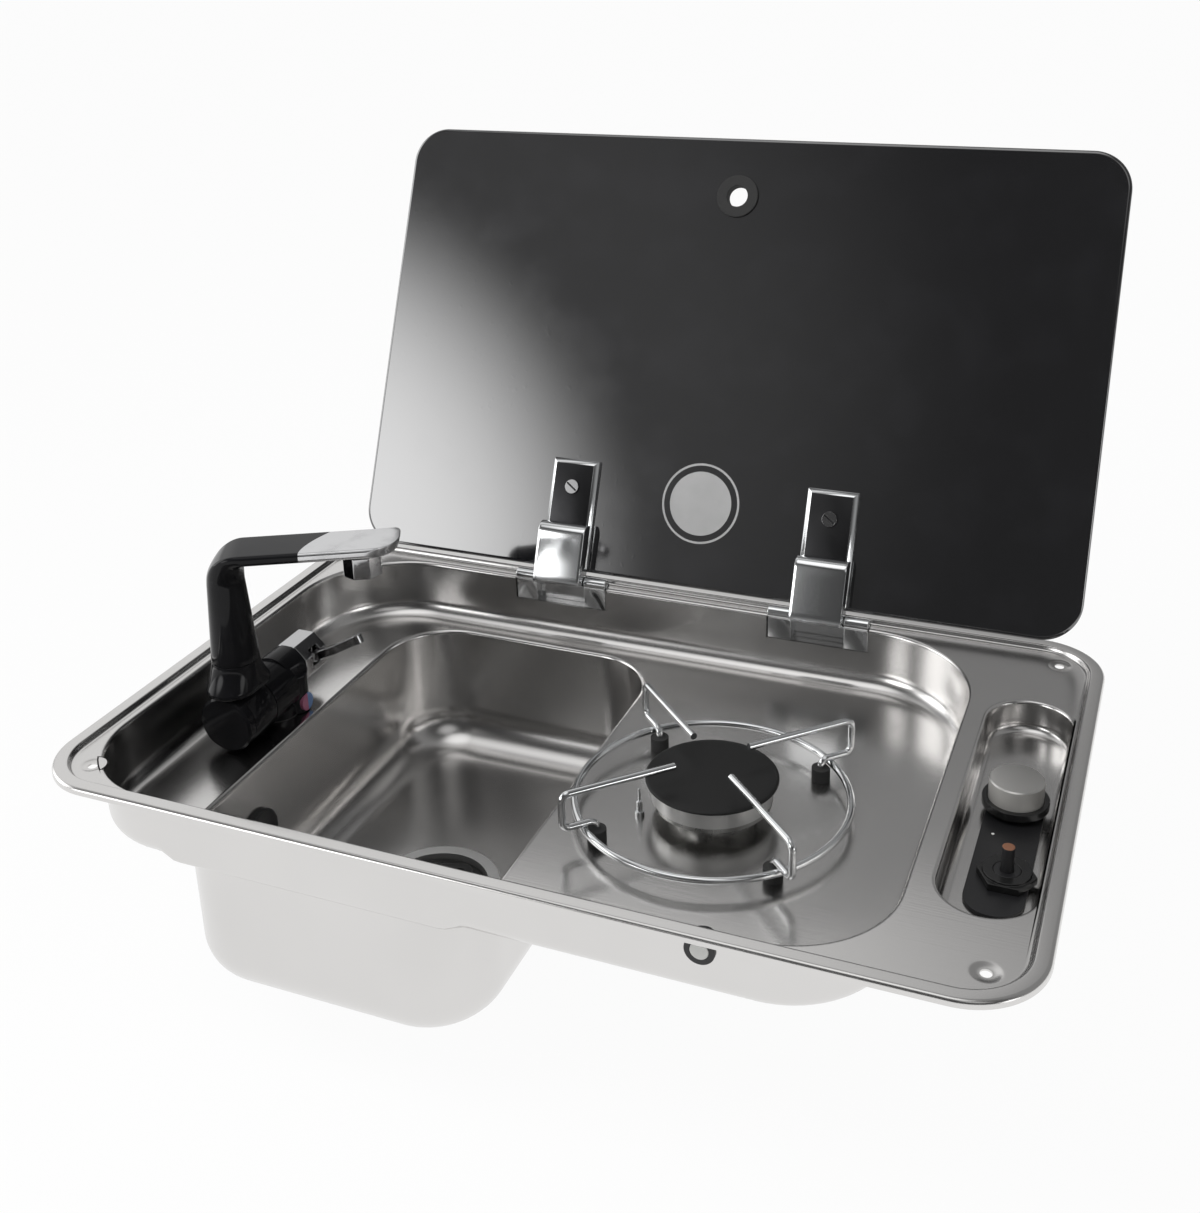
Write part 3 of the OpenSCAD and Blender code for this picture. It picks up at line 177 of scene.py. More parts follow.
class HobSinkSizes(PropertyGroup):
    """Sizes of the details that are laid over the frame."""

    tray_roll: length("Tray edge roll", "Radius where the deck rolls down into the tray", 0.0026, 0.001, 0.004)
    bowl_roll: length("Bowl edge roll", "Radius where the tray's floor rolls down into the bowl",
                      0.0030, 0.001, 0.0034)
    trough_roll: length("Trough edge roll", "Radius where the deck rolls down into the trough",
                        0.0022, 0.001, 0.003)
    dimple_depth: length("Screw dimple depth", "Depth of the dish round each corner screw hole",
                         0.0009, 0.0004, 0.0012)
    arm_wire: length("Trivet arm wire", "Radius of the trivet's arm wires", 0.0020, 0.0018, 0.0022)
    ring_wire: length("Trivet ring wire", "Radius of the trivet's ring wire", 0.0024, 0.0020, 0.0026)
    trivet_arms: bpy.props.IntProperty(
        name="Trivet arms", description="Number of bent wire arms on the trivet", default=4, min=3, max=6)


class HobSinkColours(PropertyGroup):
    """Colours of the finishes."""

    steel: colour("Satin steel", "Colour of the pressed steel sheet", (0.70, 0.69, 0.68))
    chrome: colour("Chrome", "Colour of the plated parts", (0.86, 0.86, 0.87))
    tap: colour("Tap black", "Colour of the tap's gloss coat", (0.008, 0.008, 0.009))
    glass: colour("Lid glass", "Colour printed behind the lid's glass", (0.006, 0.006, 0.007))
    knob: colour("Knob silver", "Colour of the knob's cap", (0.70, 0.69, 0.67))


def sizes():
    return bpy.context.scene.hob_sink_sizes


def colours():
    return bpy.context.scene.hob_sink_colours


# ---- Shader node groups and materials


def told(thing, **settings):
    """Sets properties of a thing and returns it."""
    for key, value in settings.items():
        setattr(thing, key, value)
    return thing


def fed(tree, made, inputs):
    """Gives a node its inputs: a socket is linked, and anything else becomes the default value."""
    for key, value in inputs.items():
        if isinstance(value, bpy.types.NodeSocket):
            tree.links.new(value, made.inputs[key])
        else:
            made.inputs[key].default_value = value
    return made.outputs


def added(tree, kind, inputs=None, **settings):
    """Adds a node and returns its outputs. A shader node's kind comes without its ShaderNode prefix."""
    made = tree.nodes.new(kind if kind.startswith("Geometry") else "ShaderNode" + kind)
    return fed(tree, told(made, **settings), inputs or {})


def worked(tree, operation, *values):
    """A math node's result."""
    return added(tree, "Math", dict(enumerate(values)), operation=operation)["Value"]


def ranged(tree, value, low, high, start=0.0, end=1.0, how="LINEAR"):
    """Maps a value from start..end to low..high."""
    return added(tree, "MapRange", {"Value": value, "From Min": start, "From Max": end, "To Min": low,
                                    "To Max": high}, interpolation_type=how)["Result"]


def noise(tree, place, scale, detail, rough=0.5):
    return added(tree, "TexNoise", {"Vector": place, "Scale": scale, "Detail": detail, "Roughness": rough})["Fac"]


def group_tree(name, inputs, outputs):
    """A shader group with number sockets. Returns the tree, its inputs' sockets and its end."""
    tree = bpy.data.node_groups.new(name, "ShaderNodeTree")
    for label, default in inputs.items():
        socket = tree.interface.new_socket(name=label, in_out="INPUT", socket_type="NodeSocketFloat")
        socket.default_value = default
    for label in outputs:
        tree.interface.new_socket(name=label, in_out="OUTPUT", socket_type="NodeSocketFloat")
    return tree, tree.nodes.new("NodeGroupInput").outputs, tree.nodes.new("NodeGroupOutput")


def make_groups():
    """The effects that the finishes share."""
    # Fine rolling lines with slow clouds under them, as on satin steel.
    tree, given, end = group_tree("Rolled grain", {"Along": 14.0, "Across": 900.0, "Clouds": 9.0},
                                  ["Lines", "Clouds"])
    place = added(tree, "TexCoord")["Object"]
    scale = added(tree, "CombineXYZ", {"X": given["Along"], "Y": given["Across"], "Z": given["Across"]})
    stretch = added(tree, "VectorMath", {0: place, 1: scale["Vector"]}, operation="MULTIPLY")
    fed(tree, end, {"Lines": noise(tree, stretch["Vector"], 1.0, 3.0),
                    "Clouds": noise(tree, place, given["Clouds"], 4.0, 0.55)})

    # Smudges and hairline scratches, as on gloss parts that are touched.
    tree, given, end = group_tree("Handling marks", {"Smudge size": 40.0, "Scratch size": 220.0},
                                  ["Smudge", "Scratch"])
    place = added(tree, "TexCoord")["Object"]
    smudge = noise(tree, place, given["Smudge size"], 5.0)
    turn = added(tree, "Mapping", {"Rotation": (0.4, 0.9, 0.6), "Scale": (1.0, 0.06, 1.0), "Vector": place})
    hair = noise(tree, turn["Vector"], given["Scratch size"], 2.0)
    fed(tree, end, {"Smudge": ranged(tree, smudge, 0.0, 1.0, 0.45, 0.72, "SMOOTHSTEP"),
                    "Scratch": ranged(tree, hair, 0.0, 1.0, 0.66, 0.74)})

    # Fine pebbling, as on moulded plastic, rubber and castings.
    tree, given, end = group_tree("Moulded grain", {"Size": 900.0}, ["Height", "Tone"])
    place = added(tree, "TexCoord")["Object"]
    cells = added(tree, "TexVoronoi", {"Vector": place, "Scale": given["Size"]}, feature="SMOOTH_F1")
    fed(tree, end, {"Height": cells["Distance"], "Tone": noise(tree, place, 60.0, 3.0)})


def blank(name):
    mat = bpy.data.materials.new(name)
    mat.use_nodes = True
    return mat.node_tree, mat.node_tree.nodes["Principled BSDF"]


def group_used(tree, name, values):
    """One of the shader groups in a material, with its own values."""
    return added(tree, "Group", values, node_tree=bpy.data.node_groups[name])


def tinted(tree, factor, dark, light):
    return added(tree, "Mix", {"A": (*dark, 1.0), "B": (*light, 1.0), "Factor": factor}, data_type="RGBA")["Result"]


def shade(tone, by):
    return tuple(min(1.0, c * by) for c in tone)


def finish(name, tone, rough, marks, tint, by, height, strength, distance, metallic=0.0, index=1.5):
    """A material. The marks' output tint changes its tone by two factors and its roughness between two
    values, and their output height raises it by the distance in metres."""
    tree, bsdf = blank(name)
    marks = group_used(tree, *marks)
    bump = added(tree, "Bump", {"Strength": strength, "Distance": distance, "Height": marks[height]})
    fed(tree, bsdf, {
        "Base Color": tinted(tree, marks[tint], shade(tone, by[0]), shade(tone, by[1])), "Metallic": metallic,
        "Roughness": ranged(tree, marks[tint], *rough), "Normal": bump["Normal"], "IOR": index})


def temperature_finish(name):
    """Two halves, one for hot and one for cold."""
    tree, bsdf = blank(name)
    split = added(tree, "SeparateXYZ", {"Vector": added(tree, "TexCoord")["Object"]})
    edge = ranged(tree, split["Y"], 0.0, 1.0, 0.0023, 0.0027)
    marks = group_used(tree, "Handling marks", {"Smudge size": 90.0})
    fed(tree, bsdf, {"Base Color": tinted(tree, edge, (0.36, 0.12, 0.20), (0.14, 0.24, 0.46)),
                     "Roughness": ranged(tree, marks["Smudge"], 0.18, 0.34)})


def steel(name, tone, rough, along=14.0, across=900.0, strength=0.10):
    marks = ("Rolled grain", {"Along": along, "Across": across})
    finish(name, tone, rough, marks, "Clouds", (0.94, 1.06), "Lines", strength, 0.0002, 1.0)


def plated(name, tone, rough):
    marks = ("Handling marks", {"Smudge size": 55.0})
    finish(name, tone, rough, marks, "Smudge", (1.0, 0.9), "Smudge", 0.05, 0.0003, 1.0)


def gloss(name, tone, rough, index=1.5):
    marks = ("Handling marks", {"Smudge size": 26.0})
    finish(name, tone, rough, marks, "Smudge", (1.0, 1.5), "Scratch", 0.04, 0.0001, index=index)


def moulded(name, tone, rough, size=900.0, strength=0.12, metallic=0.0):
    marks = ("Moulded grain", {"Size": size})
    finish(name, tone, rough, marks, "Tone", (0.85, 1.15), "Height", strength, 0.0003, metallic)


def make_finishes():
    tone = colours()
    make_groups()
    steel("satin_steel", tone.steel, (0.17, 0.27))
    steel("waste_steel", (0.55, 0.55, 0.54), (0.16, 0.26), along=60.0)
    steel("brushed_silver", tone.knob, (0.30, 0.42), along=40.0, across=1600.0, strength=0.2)
    steel("fitting_brass", (0.70, 0.50, 0.22), (0.22, 0.36), along=90.0)
    steel("pipe_metal", (0.58, 0.57, 0.55), (0.22, 0.34), along=60.0)
    plated("tap_chrome", tone.chrome, (0.05, 0.14))
    plated("tip_satin", shade(tone.chrome, 0.8), (0.20, 0.30))
    # A darker copy of the chrome for the lever and the screw heads: painted shade for the dark studio they reflect.
    plated("lever_chrome", shade(tone.chrome, 0.42), (0.06, 0.14))
    # A darker copy of the chrome for the aerator and the handle: painted shade for the dark reflections in their
    # facets.
    plated("facet_chrome", shade(tone.chrome, 0.62), (0.05, 0.12))
    plated("cup_dark", (0.42, 0.42, 0.41), (0.26, 0.36))
    plated("arm_dark", (0.075, 0.075, 0.078), (0.34, 0.42))
    plated("hinge_chrome", tone.chrome, (0.05, 0.16))
    plated("wire_chrome", shade(tone.chrome, 1.05), (0.22, 0.32))
    gloss("tap_gloss", tone.tap, (0.05, 0.11), index=1.26)
    gloss("lid_gloss", tone.glass, (0.05, 0.08), index=2.5)
    gloss("cap_enamel", (0.006, 0.006, 0.006), (0.02, 0.05), index=1.6)
    gloss("plug_gloss", (0.010, 0.010, 0.010), (0.16, 0.28))
    moulded("seal_rubber", (0.016, 0.016, 0.016), (0.45, 0.65))
    moulded("black_plastic", (0.012, 0.012, 0.013), (0.30, 0.45))
    moulded("waste_plastic", (0.035, 0.035, 0.036), (0.40, 0.55))
    moulded("burner_casting", (0.020, 0.020, 0.020), (0.45, 0.60), size=1500.0)
    moulded("pale_plastic", (0.72, 0.71, 0.68), (0.35, 0.5))
    moulded("button_brown", (0.045, 0.028, 0.020), (0.35, 0.5))
    moulded("cap_silver", (0.46, 0.45, 0.43), (0.34, 0.44), size=1600.0, strength=0.05, metallic=0.35)
    moulded("ring_print", (0.42, 0.42, 0.42), (0.4, 0.55), size=1600.0, strength=0.05)
    temperature_finish("hot_cold")


# ---- Mesh helpers


def linked(name, mesh):
    obj = bpy.data.objects.new(name, mesh)
    bpy.context.scene.collection.objects.link(obj)
    return obj


def dressed(obj, body, slot, nodes, *finishes):
    """Gives a finished piece its materials and its body, and hides the CAD nodes it stands for. The slot is not used.
    """
    obj.data.materials.clear()
    for name in finishes:
        obj.data.materials.append(bpy.data.materials[name])
    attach(obj, body)
    if nodes:
        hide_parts(*nodes)
    return obj


def stands(obj, node, slot, *finishes):
    """Dresses the piece that stands for one CAD node."""
    return dressed(obj, NODES[node]["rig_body"], slot, [node], *finishes)


def smoothed(mesh, crease):
    mesh.shade_smooth()
    mesh.set_sharp_from_angle(angle=radians(crease))


def stored(bm, name, crease=None):
    """An object with the faces of bm, which is freed."""
    mesh = bpy.data.meshes.new(name)
    bm.to_mesh(mesh)
    bm.free()
    if crease:
        smoothed(mesh, crease)
    return linked(name, mesh)


def finished(bm, name, crease=None, place=None, inverted=None):
    """Turns the faces outward, moves them to their place and makes the object.
    For an open surface, inverted says whether its faces look the wrong way."""
    bmesh.ops.recalc_face_normals(bm, faces=bm.faces)
    if inverted and inverted(bm):
        bmesh.ops.reverse_faces(bm, faces=bm.faces)
    if place:
        bm.transform(place)
    return stored(bm, name, crease)


def edged(obj, width):
    """Rounds the sharp edges of a piece."""
    told(obj.modifiers.new("Edges", "BEVEL"), width=width * MM, segments=2, limit_method="ANGLE",
         angle_limit=radians(32), harden_normals=True, miter_outer="MITER_ARC")


def refined(material, slot=None, **widths):
    """Merged copies of CAD nodes with rounded edges, given as node=width. Returns the last one.
    Their slot, the finish's name unless it is given, is not used."""
    for node, width in widths.items():
        bm = bmesh.new()
        bm.from_mesh(NODES[node].data)
        bmesh.ops.remove_doubles(bm, verts=bm.verts, dist=2e-6)
        bmesh.ops.dissolve_limit(bm, angle_limit=radians(0.6), verts=bm.verts, edges=bm.edges)
        obj = stored(bm, node + "_dressed", 32)
        if width:
            edged(obj, width)
        stands(obj, node, slot or material, material)
    return obj


def baked(obj):
    """The object's evaluated mesh in place of its modifiers."""
    graph = bpy.context.evaluated_depsgraph_get()
    mesh = bpy.data.meshes.new_from_object(obj.evaluated_get(graph))
    obj.modifiers.clear()
    obj.data = mesh


def cut_out(obj, bm, place=None):
    """Cuts the closed shapes in bm out of the object."""
    tool = finished(bm, "cutter", place=place)
    told(obj.modifiers.new("Cut", "BOOLEAN"), operation="DIFFERENCE", solver="EXACT", object=tool)
    baked(obj)
    bpy.data.objects.remove(tool)


def walled(obj, thickness, even=False):
    """Gives a surface its sheet thickness, inward from its outer side."""
    told(obj.modifiers.new("Sheet", "SOLIDIFY"), thickness=thickness * MM, offset=-1.0, use_even_offset=even)
    baked(obj)


def moved(x, y, z=0.0):
    """The matrix of a move in millimetres."""
    return Matrix.Translation(Vector((x, y, z)) * MM)


def spun(degrees, axis):
    return Matrix.Rotation(radians(degrees), 4, axis)


def vert(bm, x, y, z):
    return bm.verts.new((x * MM, y * MM, z * MM))


def around(steps, first=0.0):
    """Cosine and sine of each step round a circle."""
    turns = (tau * (i + first) / steps for i in range(steps))
    return [(cos(a), sin(a)) for a in turns]


def quarter(steps):
    """Cosine and sine of each step of a quarter turn."""
    return around(4 * steps)[:steps + 1]


def faced(bm, *corners):
    """A face of the corners, each taken once."""
    bm.faces.new(list(dict.fromkeys(corners)))


def bridged(bm, rings, closed=True):
    """Joins neighbouring rings of points with faces."""
    for low, high in zip(rings, rings[1:]):
        for i in range(len(low) if closed else len(low) - 1):
            j = (i + 1) % len(low)
            faced(bm, low[i], low[j], high[j], high[i])


def lathe(bm, profile, place, steps=64):
    """Turns a profile of (radius, height) in millimetres round Z and moves it to its place."""
    rings = []
    for r, z in profile:
        ways = around(steps) if r else [(0, 0)]
        ring = [bm.verts.new(place @ (Vector((r * c, r * s, z)) * MM)) for c, s in ways]
        rings.append(ring if r else ring * steps)
    bridged(bm, rings)


def turned(name, profile, centre):
    bm = bmesh.new()
    lathe(bm, profile, moved(*centre))
    return finished(bm, name, 30)


def rod(radius, low, high):
    """The profile of a plain cylinder."""
    return [(0, low), (radius, low), (radius, high), (0, high)]


def box_into(bm, low, high):
    for v in bmesh.ops.create_cube(bm, size=1.0)["verts"]:
        v.co = Vector(((low[i] + high[i]) / 2 + v.co[i] * (high[i] - low[i]) for i in range(3))) * MM


def eased(t):
    t = max(0.0, min(1.0, t))
    return t * t * (3 - 2 * t)


# ---- The pressed steel sheet


def outline(x0, y0, x1, y1, front, back, steps, front_stops=()):
    """Points and outward directions round a rounded rectangle, in millimetres."""
    out = []
    corners = ((x0 + front, y0 + front, front, 180), (x1 - front, y0 + front, front, 270),
               (x1 - back, y1 - back, back, 0), (x0 + back, y1 - back, back, 90))
    for k, (cx, cy, r, start) in enumerate(corners):
        for i in range(steps + 1):
            a = radians(start + 90 * i / steps)
            way = (cos(a), sin(a))
            out.append(((cx + r * way[0], cy + r * way[1]), way))
        if k == 0:
            out.extend(((x, y0), (0.0, -1.0)) for x in front_stops)
    return out


def pressed(bm, line, rows):
    """Bridges the loops that the rows make. A row gives each point's (outward offset, height)."""
    loops = []
    for row in rows:
        loops.append([])
        for i, (p, n) in enumerate(line):
            out, height = row(i)
            loops[-1].append(vert(bm, p[0] + n[0] * out, p[1] + n[1] * out, height))
    bridged(bm, loops)
    return loops[0], loops[-1]


def filled(bm, *loops):
    """Fills the face between closed loops."""
    edges = []
    for loop in loops:
        for pair in zip(loop, loop[1:] + loop[:1]):
            edges.append(bm.edges.get(pair) or bm.edges.new(pair))
    bmesh.ops.triangle_fill(bm, use_beauty=True, edges=edges)


def plain_ring(bm, cx, cy, r, z, steps):
    return [vert(bm, cx + r * c, cy + r * s, z) for c, s in around(steps)]


def wall_rows(roll, top, fillet, floor, margin, fillet_steps=9):
    """Rows of a pressed wall: flat margin, rolled edge, wall, fillet and flat margin.
    roll, fillet and margin are functions of the outline point's index."""
    rows = [lambda i: (roll(i) + margin(i), top)]
    for c, s in quarter(6):
        rows.append(lambda i, c=c, s=s: (roll(i) * (1 - s), top - roll(i) * (1 - c)))
    rows.append(lambda i: (0.0, top - roll(i) - 1.0))
    rows.append(lambda i: (0.0, floor + fillet(i) + 1.0))
    for c, s in quarter(fillet_steps):
        rows.append(lambda i, c=c, s=s: (-fillet(i) * (1 - c), floor + fillet(i) * (1 - s)))
    rows.append(lambda i: (-fillet(i) - margin(i), floor))
    return rows


def rim_section():
    """Section of the rim from its lip over its top and down to the deck, as (inward, height)."""
    section = [(0.0, 0.0), (0.0, 0.6), (0.0, RIM_H - RIM_LIP - 0.4)]
    section += [(RIM_LIP * (1 - c), RIM_H - RIM_LIP * (1 - s)) for c, s in quarter(6)]
    section += [(RIM_W + across, RIM_H - down) for across, down in
                ((-1.9, 0.0), (-1.3, 0.0), (-0.75, 0.2), (-0.25, 0.75), (0.15, 1.6))]
    section += [(RIM_W + across, SHEET + up) for across, up in
                ((0.5, 1.1), (0.95, 0.42), (1.6, 0.09), (2.4, 0.0), (3.2, 0.0))]
    return section


# Section of the dish round a corner screw hole: outward from 3 mm, and the share of the dish's depth.
DIMPLE = ((6.4, 0.0), (5.6, 0.0), (4.9, -0.05), (4.2, -0.2), (3.4, -0.5), (2.5, -0.8), (1.6, -0.95),
          (0.8, -1.0), (0.1, -1.0))


def sheet_surface():
    """The top face of the whole pressing: rim, deck, tray, bowl and trough."""
    size = sizes()
    bm = bmesh.new()
    _, deck_out = pressed(bm, outline(*FLANGE, 20), [lambda i, s=s: (-s[0], s[1]) for s in rim_section()])

    # The tray's fillet narrows along the bowl's mouth, where the two walls meet.
    tray = outline(*TRAY, 18, (-219, -214, -209, -204, -199, -190, -160, -115, -70, -40, -31, -26, -21, -16, -11,
                               -6, 10, 60))

    def fillet(i):
        (x, _), way = tray[i]
        near = eased((x + 216.5) / 15.0) * eased((-9.0 - x) / 15.0) if way[1] < -0.999 else 0.0
        return TRAY_FILLET + (TRAY_FILLET_FRONT - TRAY_FILLET) * near

    deck_tray, floor_out = pressed(bm, tray, wall_rows(
        lambda i: size.tray_roll / MM, SHEET, fillet, TRAY_FLOOR, lambda i: 0.15 if fillet(i) < 6 else 0.9))

    # The bowl's rolled edge starts narrow at the front.
    bowl = outline(*BOWL, 16, (-140, -110, -80))

    def opened(i):
        return eased((bowl[i][0][1] - BOWL[1] - 9.0) / 30.0)

    floor_bowl, bowl_low = pressed(bm, bowl, wall_rows(
        lambda i: 1.05 + (size.bowl_roll / MM - 1.05) * opened(i), TRAY_FLOOR, lambda i: BOWL_FILLET, BOWL_FLOOR,
        lambda i: 0.15 + 0.75 * opened(i), fillet_steps=14))
    deck_trough, trough_low = pressed(bm, outline(*TROUGH, 16), wall_rows(
        lambda i: size.trough_roll / MM, SHEET, lambda i: TROUGH_FILLET, TROUGH_FLOOR, lambda i: 0.6))

    dimples = []
    depth = size.dimple_depth / MM
    for x in (-HOLE_AT[0], HOLE_AT[0]):
        for y in (-HOLE_AT[1], HOLE_AT[1]):
            dish = [((x + 3.0 * c, y + 3.0 * s), (c, s)) for c, s in around(32)]
            dimples.append(pressed(bm, dish, [lambda i, s=s: (s[0], SHEET + s[1] * depth) for s in DIMPLE])[0])

    filled(bm, deck_out, deck_tray, deck_trough, *dimples)
    for loops, z, holes in (
            ((floor_out, floor_bowl), TRAY_FLOOR, ((*BURNER, 22.5, 48), (TAP[0], SHANK_Y, 13.5, 32),
                                                   (*ELECTRODE, 2.5, 16), (*THERMOCOUPLE, 2.5, 16))),
            ((bowl_low,), BOWL_FLOOR, ((*WASTE, 37.0, 64),)),
            ((trough_low,), TROUGH_FLOOR, ((*KNOB, 5.0, 24), (*IGNITER, 7.8, 24)))):
        filled(bm, *loops, *(plain_ring(bm, x, y, r, z, steps) for x, y, r, steps in holes))
    bmesh.ops.remove_doubles(bm, verts=bm.verts, dist=2e-6)
    return finished(bm, "steel_pressing",
                    inverted=lambda bm: max(bm.faces, key=lambda f: f.calc_area()).normal.z < 0)


class HOBSINK_OT_sheet(Operator):
    """Press the steel sheet: rim, deck, tray, bowl and trough in one piece."""

    bl_idname = "hobsink.sheet"
    bl_label = "Steel sheet"

    def execute(self, context):
        obj = sheet_surface()
        walled(obj, SHEET, even=True)
        bm = bmesh.new()
        for x in (-HINGE_X, HINGE_X):
            box_into(bm, (x - POCKET_HALF, 150.0, -16.9), (x + POCKET_HALF, 178.6, 6.0))
        lathe(bm, rod(6.2, 0, 12), moved(129.5, -182.0, -13.0) @ spun(-90, "X"), 48)
        lathe(bm, rod(10.3, 0, 12), moved(-224.0, -78.0, -92.0) @ spun(90, "Y"), 48)
        cut_out(obj, bm)
        bm = bmesh.new()
        bm.from_mesh(obj.data)
        for x in (-HINGE_X, HINGE_X):
            left, right = x - POCKET_HALF, x + POCKET_HALF
            box_into(bm, (left - 1, 178.6, -17.9), (right + 1, 179.6, 0.0))
            box_into(bm, (left - 1, 168.4, -17.9), (right + 1, 178.7, -16.9))
            for side in (left - 1, right):
                box_into(bm, (side, 168.4, -16.95), (side + 1, 178.7, 0.0))
        bm.to_mesh(obj.data)
        bm.free()
        smoothed(obj.data, 35)
        dressed(obj, "basin", "brushed_steel", ["rim_deck", "hob_tray", "sink_bowl", "control_trough"],
                "satin_steel")
        refined("seal_rubber", rim_seal=0)
        return {"FINISHED"}


# ---- Lid and hinges


def lid_place():
    """Where the open lid stands, for points in metres in the lid's own frame."""
    return moved(0.0, *HINGE_AT) @ spun(-LID_OPEN, "X")


def marked(obj, chosen):
    """Gives the second material to the faces whose centre, in the lid's frame in millimetres, is chosen."""
    back = lid_place().inverted()
    for face in obj.data.polygons:
        if chosen((back @ face.center) / MM):
            face.material_index = 1


class HOBSINK_OT_lid(Operator):
    """Lay the dark glass with its ground edge, its grommet and its plain ring."""

    bl_idname = "hobsink.lid"
    bl_label = "Glass lid"

    def execute(self, context):
        bm = bmesh.new()
        low, high = GLASS_LOW, GLASS_LOW + GLASS_THICK
        section = [(2.6, low), (2.4, low), (1.0, low + 0.4), (0.35, low + 0.9), (0.0, low + 1.5),
                   (0.0, high - 0.9), (0.12, high - 0.4), (0.45, high - 0.1), (0.9, high), (1.5, high)]
        under, over = pressed(bm, outline(*GLASS, 24), [lambda i, s=s: (-s[0], s[1]) for s in section])
        under, over = [under], [over]
        for x, y, r, steps in ((*FINGER_HOLE, 48), (-HINGE_X, SCREW_Y, 4.0, 24), (HINGE_X, SCREW_Y, 4.0, 24)):
            under.append(plain_ring(bm, x, y, r, low, steps))
            over.append(plain_ring(bm, x, y, r, high, steps))
            bridged(bm, (under[-1], over[-1]))
        filled(bm, *under)
        filled(bm, *over)
        obj = finished(bm, "lid_glass_dressed", 40, lid_place())
        stands(obj, "lid_glass", "lid_glass", "lid_gloss")
        refined("seal_rubber", lid_grommet=0.5)
        self.ring()
        return {"FINISHED"}

    def ring(self):
        """A plain printed ring with a disc in it, between the hinges."""
        bm = bmesh.new()
        outer, inner, disc = (plain_ring(bm, *PRINT_AT, r, 2.46, 72) for r in (30.2, 28.6, 24.0))
        bridged(bm, (inner, outer))
        bm.faces.new(disc[::-1])
        for v in bmesh.ops.extrude_face_region(bm, geom=bm.faces[:])["geom"]:
            if isinstance(v, bmesh.types.BMVert):
                v.co.z += 0.05 * MM
        dressed(finished(bm, "lid_ring_print", place=lid_place()), "lid", "lid_glass", [], "ring_print")


class HOBSINK_OT_hinges(Operator):
    """Finish the hinge bases, arms, covers, pins and the screws through the glass."""

    bl_idname = "hobsink.hinges"
    bl_label = "Lid hinges"

    def execute(self, context):
        for side, x in (("left", -HINGE_X), ("right", HINGE_X)):
            refined("hinge_chrome", **{f"hinge_base_{side}": 0.6})
            self.arm(f"hinge_arm_{side}", x)
            self.cover(f"hinge_cover_{side}", x)
        refined("pipe_metal", "hinge_chrome", hinge_pins=0.3)
        self.screws()
        return {"FINISHED"}

    def arm(self, node, x):
        """The arm: a plate with a wide flat chamfer round its front, a root and a bored knuckle."""
        bm = bmesh.new()
        loops = []
        for inset, z in ((0.0, 2.5), (0.0, 0.1), (ARM_CHAMFER, ARM_FRONT)):
            half, far = ARM_HALF - inset, ARM_FAR + inset
            plan = ((-half, far), (half, far), (half, -10.0), (-half, -10.0))
            loops.append([vert(bm, x + u, y, z) for u, y in plan])
        bridged(bm, loops)
        bm.faces.new(loops[0])
        bm.faces.new(loops[-1])
        box_into(bm, (x - ARM_HALF, -10.0, ARM_FRONT), (x + ARM_HALF, -2.6, 1.5))
        bore, knuckle = 2.05, 4.6
        lathe(bm, [(bore, -ARM_HALF), (knuckle, -ARM_HALF), (knuckle, ARM_HALF), (bore, ARM_HALF),
                   (bore, -ARM_HALF)], moved(x, 0.0) @ spun(90, "Y"), 48)
        obj = finished(bm, node + "_dressed", place=lid_place())
        edged(obj, 0.3)
        baked(obj)
        smoothed(obj.data, 26)
        stands(obj, node, "hinge_chrome", "hinge_chrome", "arm_dark")
        marked(obj, lambda p: abs(p.z - ARM_FRONT) < 0.05 and p.y < -11.0)

    def cover(self, node, x):
        """The cover as a bent shell with a rounded shoulder and a sloping, slightly crowned front."""
        top, low, root, far, r, half = ARM_FRONT, COVER_FRONT, 4.0, -35.0, 8.5, ARM_HALF
        side = [(root, top), (root, low + COVER_SLOPE + 1.0), (root - 0.3, low + COVER_SLOPE + 0.3)]
        side += [(root - 1.0 - 6.3 * k, low + COVER_SLOPE * (1 - k / 6)) for k in range(6)]
        side += [(far - r * s, low + r * (1 - c)) for c, s in quarter(10)]
        side.append((far - r, top))
        inner = [k * 2.4 for k in range(-7, 8)]
        stops = [-half, -half + 0.25, -half + 0.8, *inner, half - 0.8, half - 0.25, half]
        bm = bmesh.new()
        rows = []
        for u in stops:
            rounding = 0.7 if abs(u) == half else 0.2 if abs(u) > half - 0.5 else 0.0
            drop = (0.45 * (u / half) ** 2 + rounding) / (top - low)
            rows.append([vert(bm, x + u, y, z + drop * (top - z)) for y, z in side])
        bridged(bm, rows, closed=False)
        for row in (rows[0], rows[-1]):
            bm.faces.new(row)
        bm.faces.ensure_lookup_table()
        obj = finished(bm, node + "_dressed", inverted=lambda bm: bm.faces[len(bm.faces) // 2].normal.z > 0)
        walled(obj, 1.4)
        obj.data.transform(lid_place())
        smoothed(obj.data, 38)
        stands(obj, node, "hinge_chrome", "hinge_chrome")

    def screws(self):
        """The screws through the glass, in the darker chrome as painted shade, with a slot across each head whose
        floor is painted black as shade.
        """
        # The heads take the darker chrome: painted shade.
        obj = refined("lever_chrome", "hinge_chrome", glass_screws=0)
        bm = bmesh.new()
        for x in (-HINGE_X, HINGE_X):
            box_into(bm, (-4.8, -0.6, -5.6), (4.8, 0.6, SLOT_FLOOR))
            bmesh.ops.transform(bm, verts=bm.verts[-8:], matrix=moved(x, SCREW_Y) @ spun(35, "Z"))
        cut_out(obj, bm, lid_place())
        # The slot floors are painted black: painted shade in the slots.
        obj.data.materials.append(bpy.data.materials["black_plastic"])
        marked(obj, lambda p: abs(p.z - SLOT_FLOOR) < 0.05)
        edged(obj, 0.3)
        smoothed(obj.data, 32)


# ---- Tap


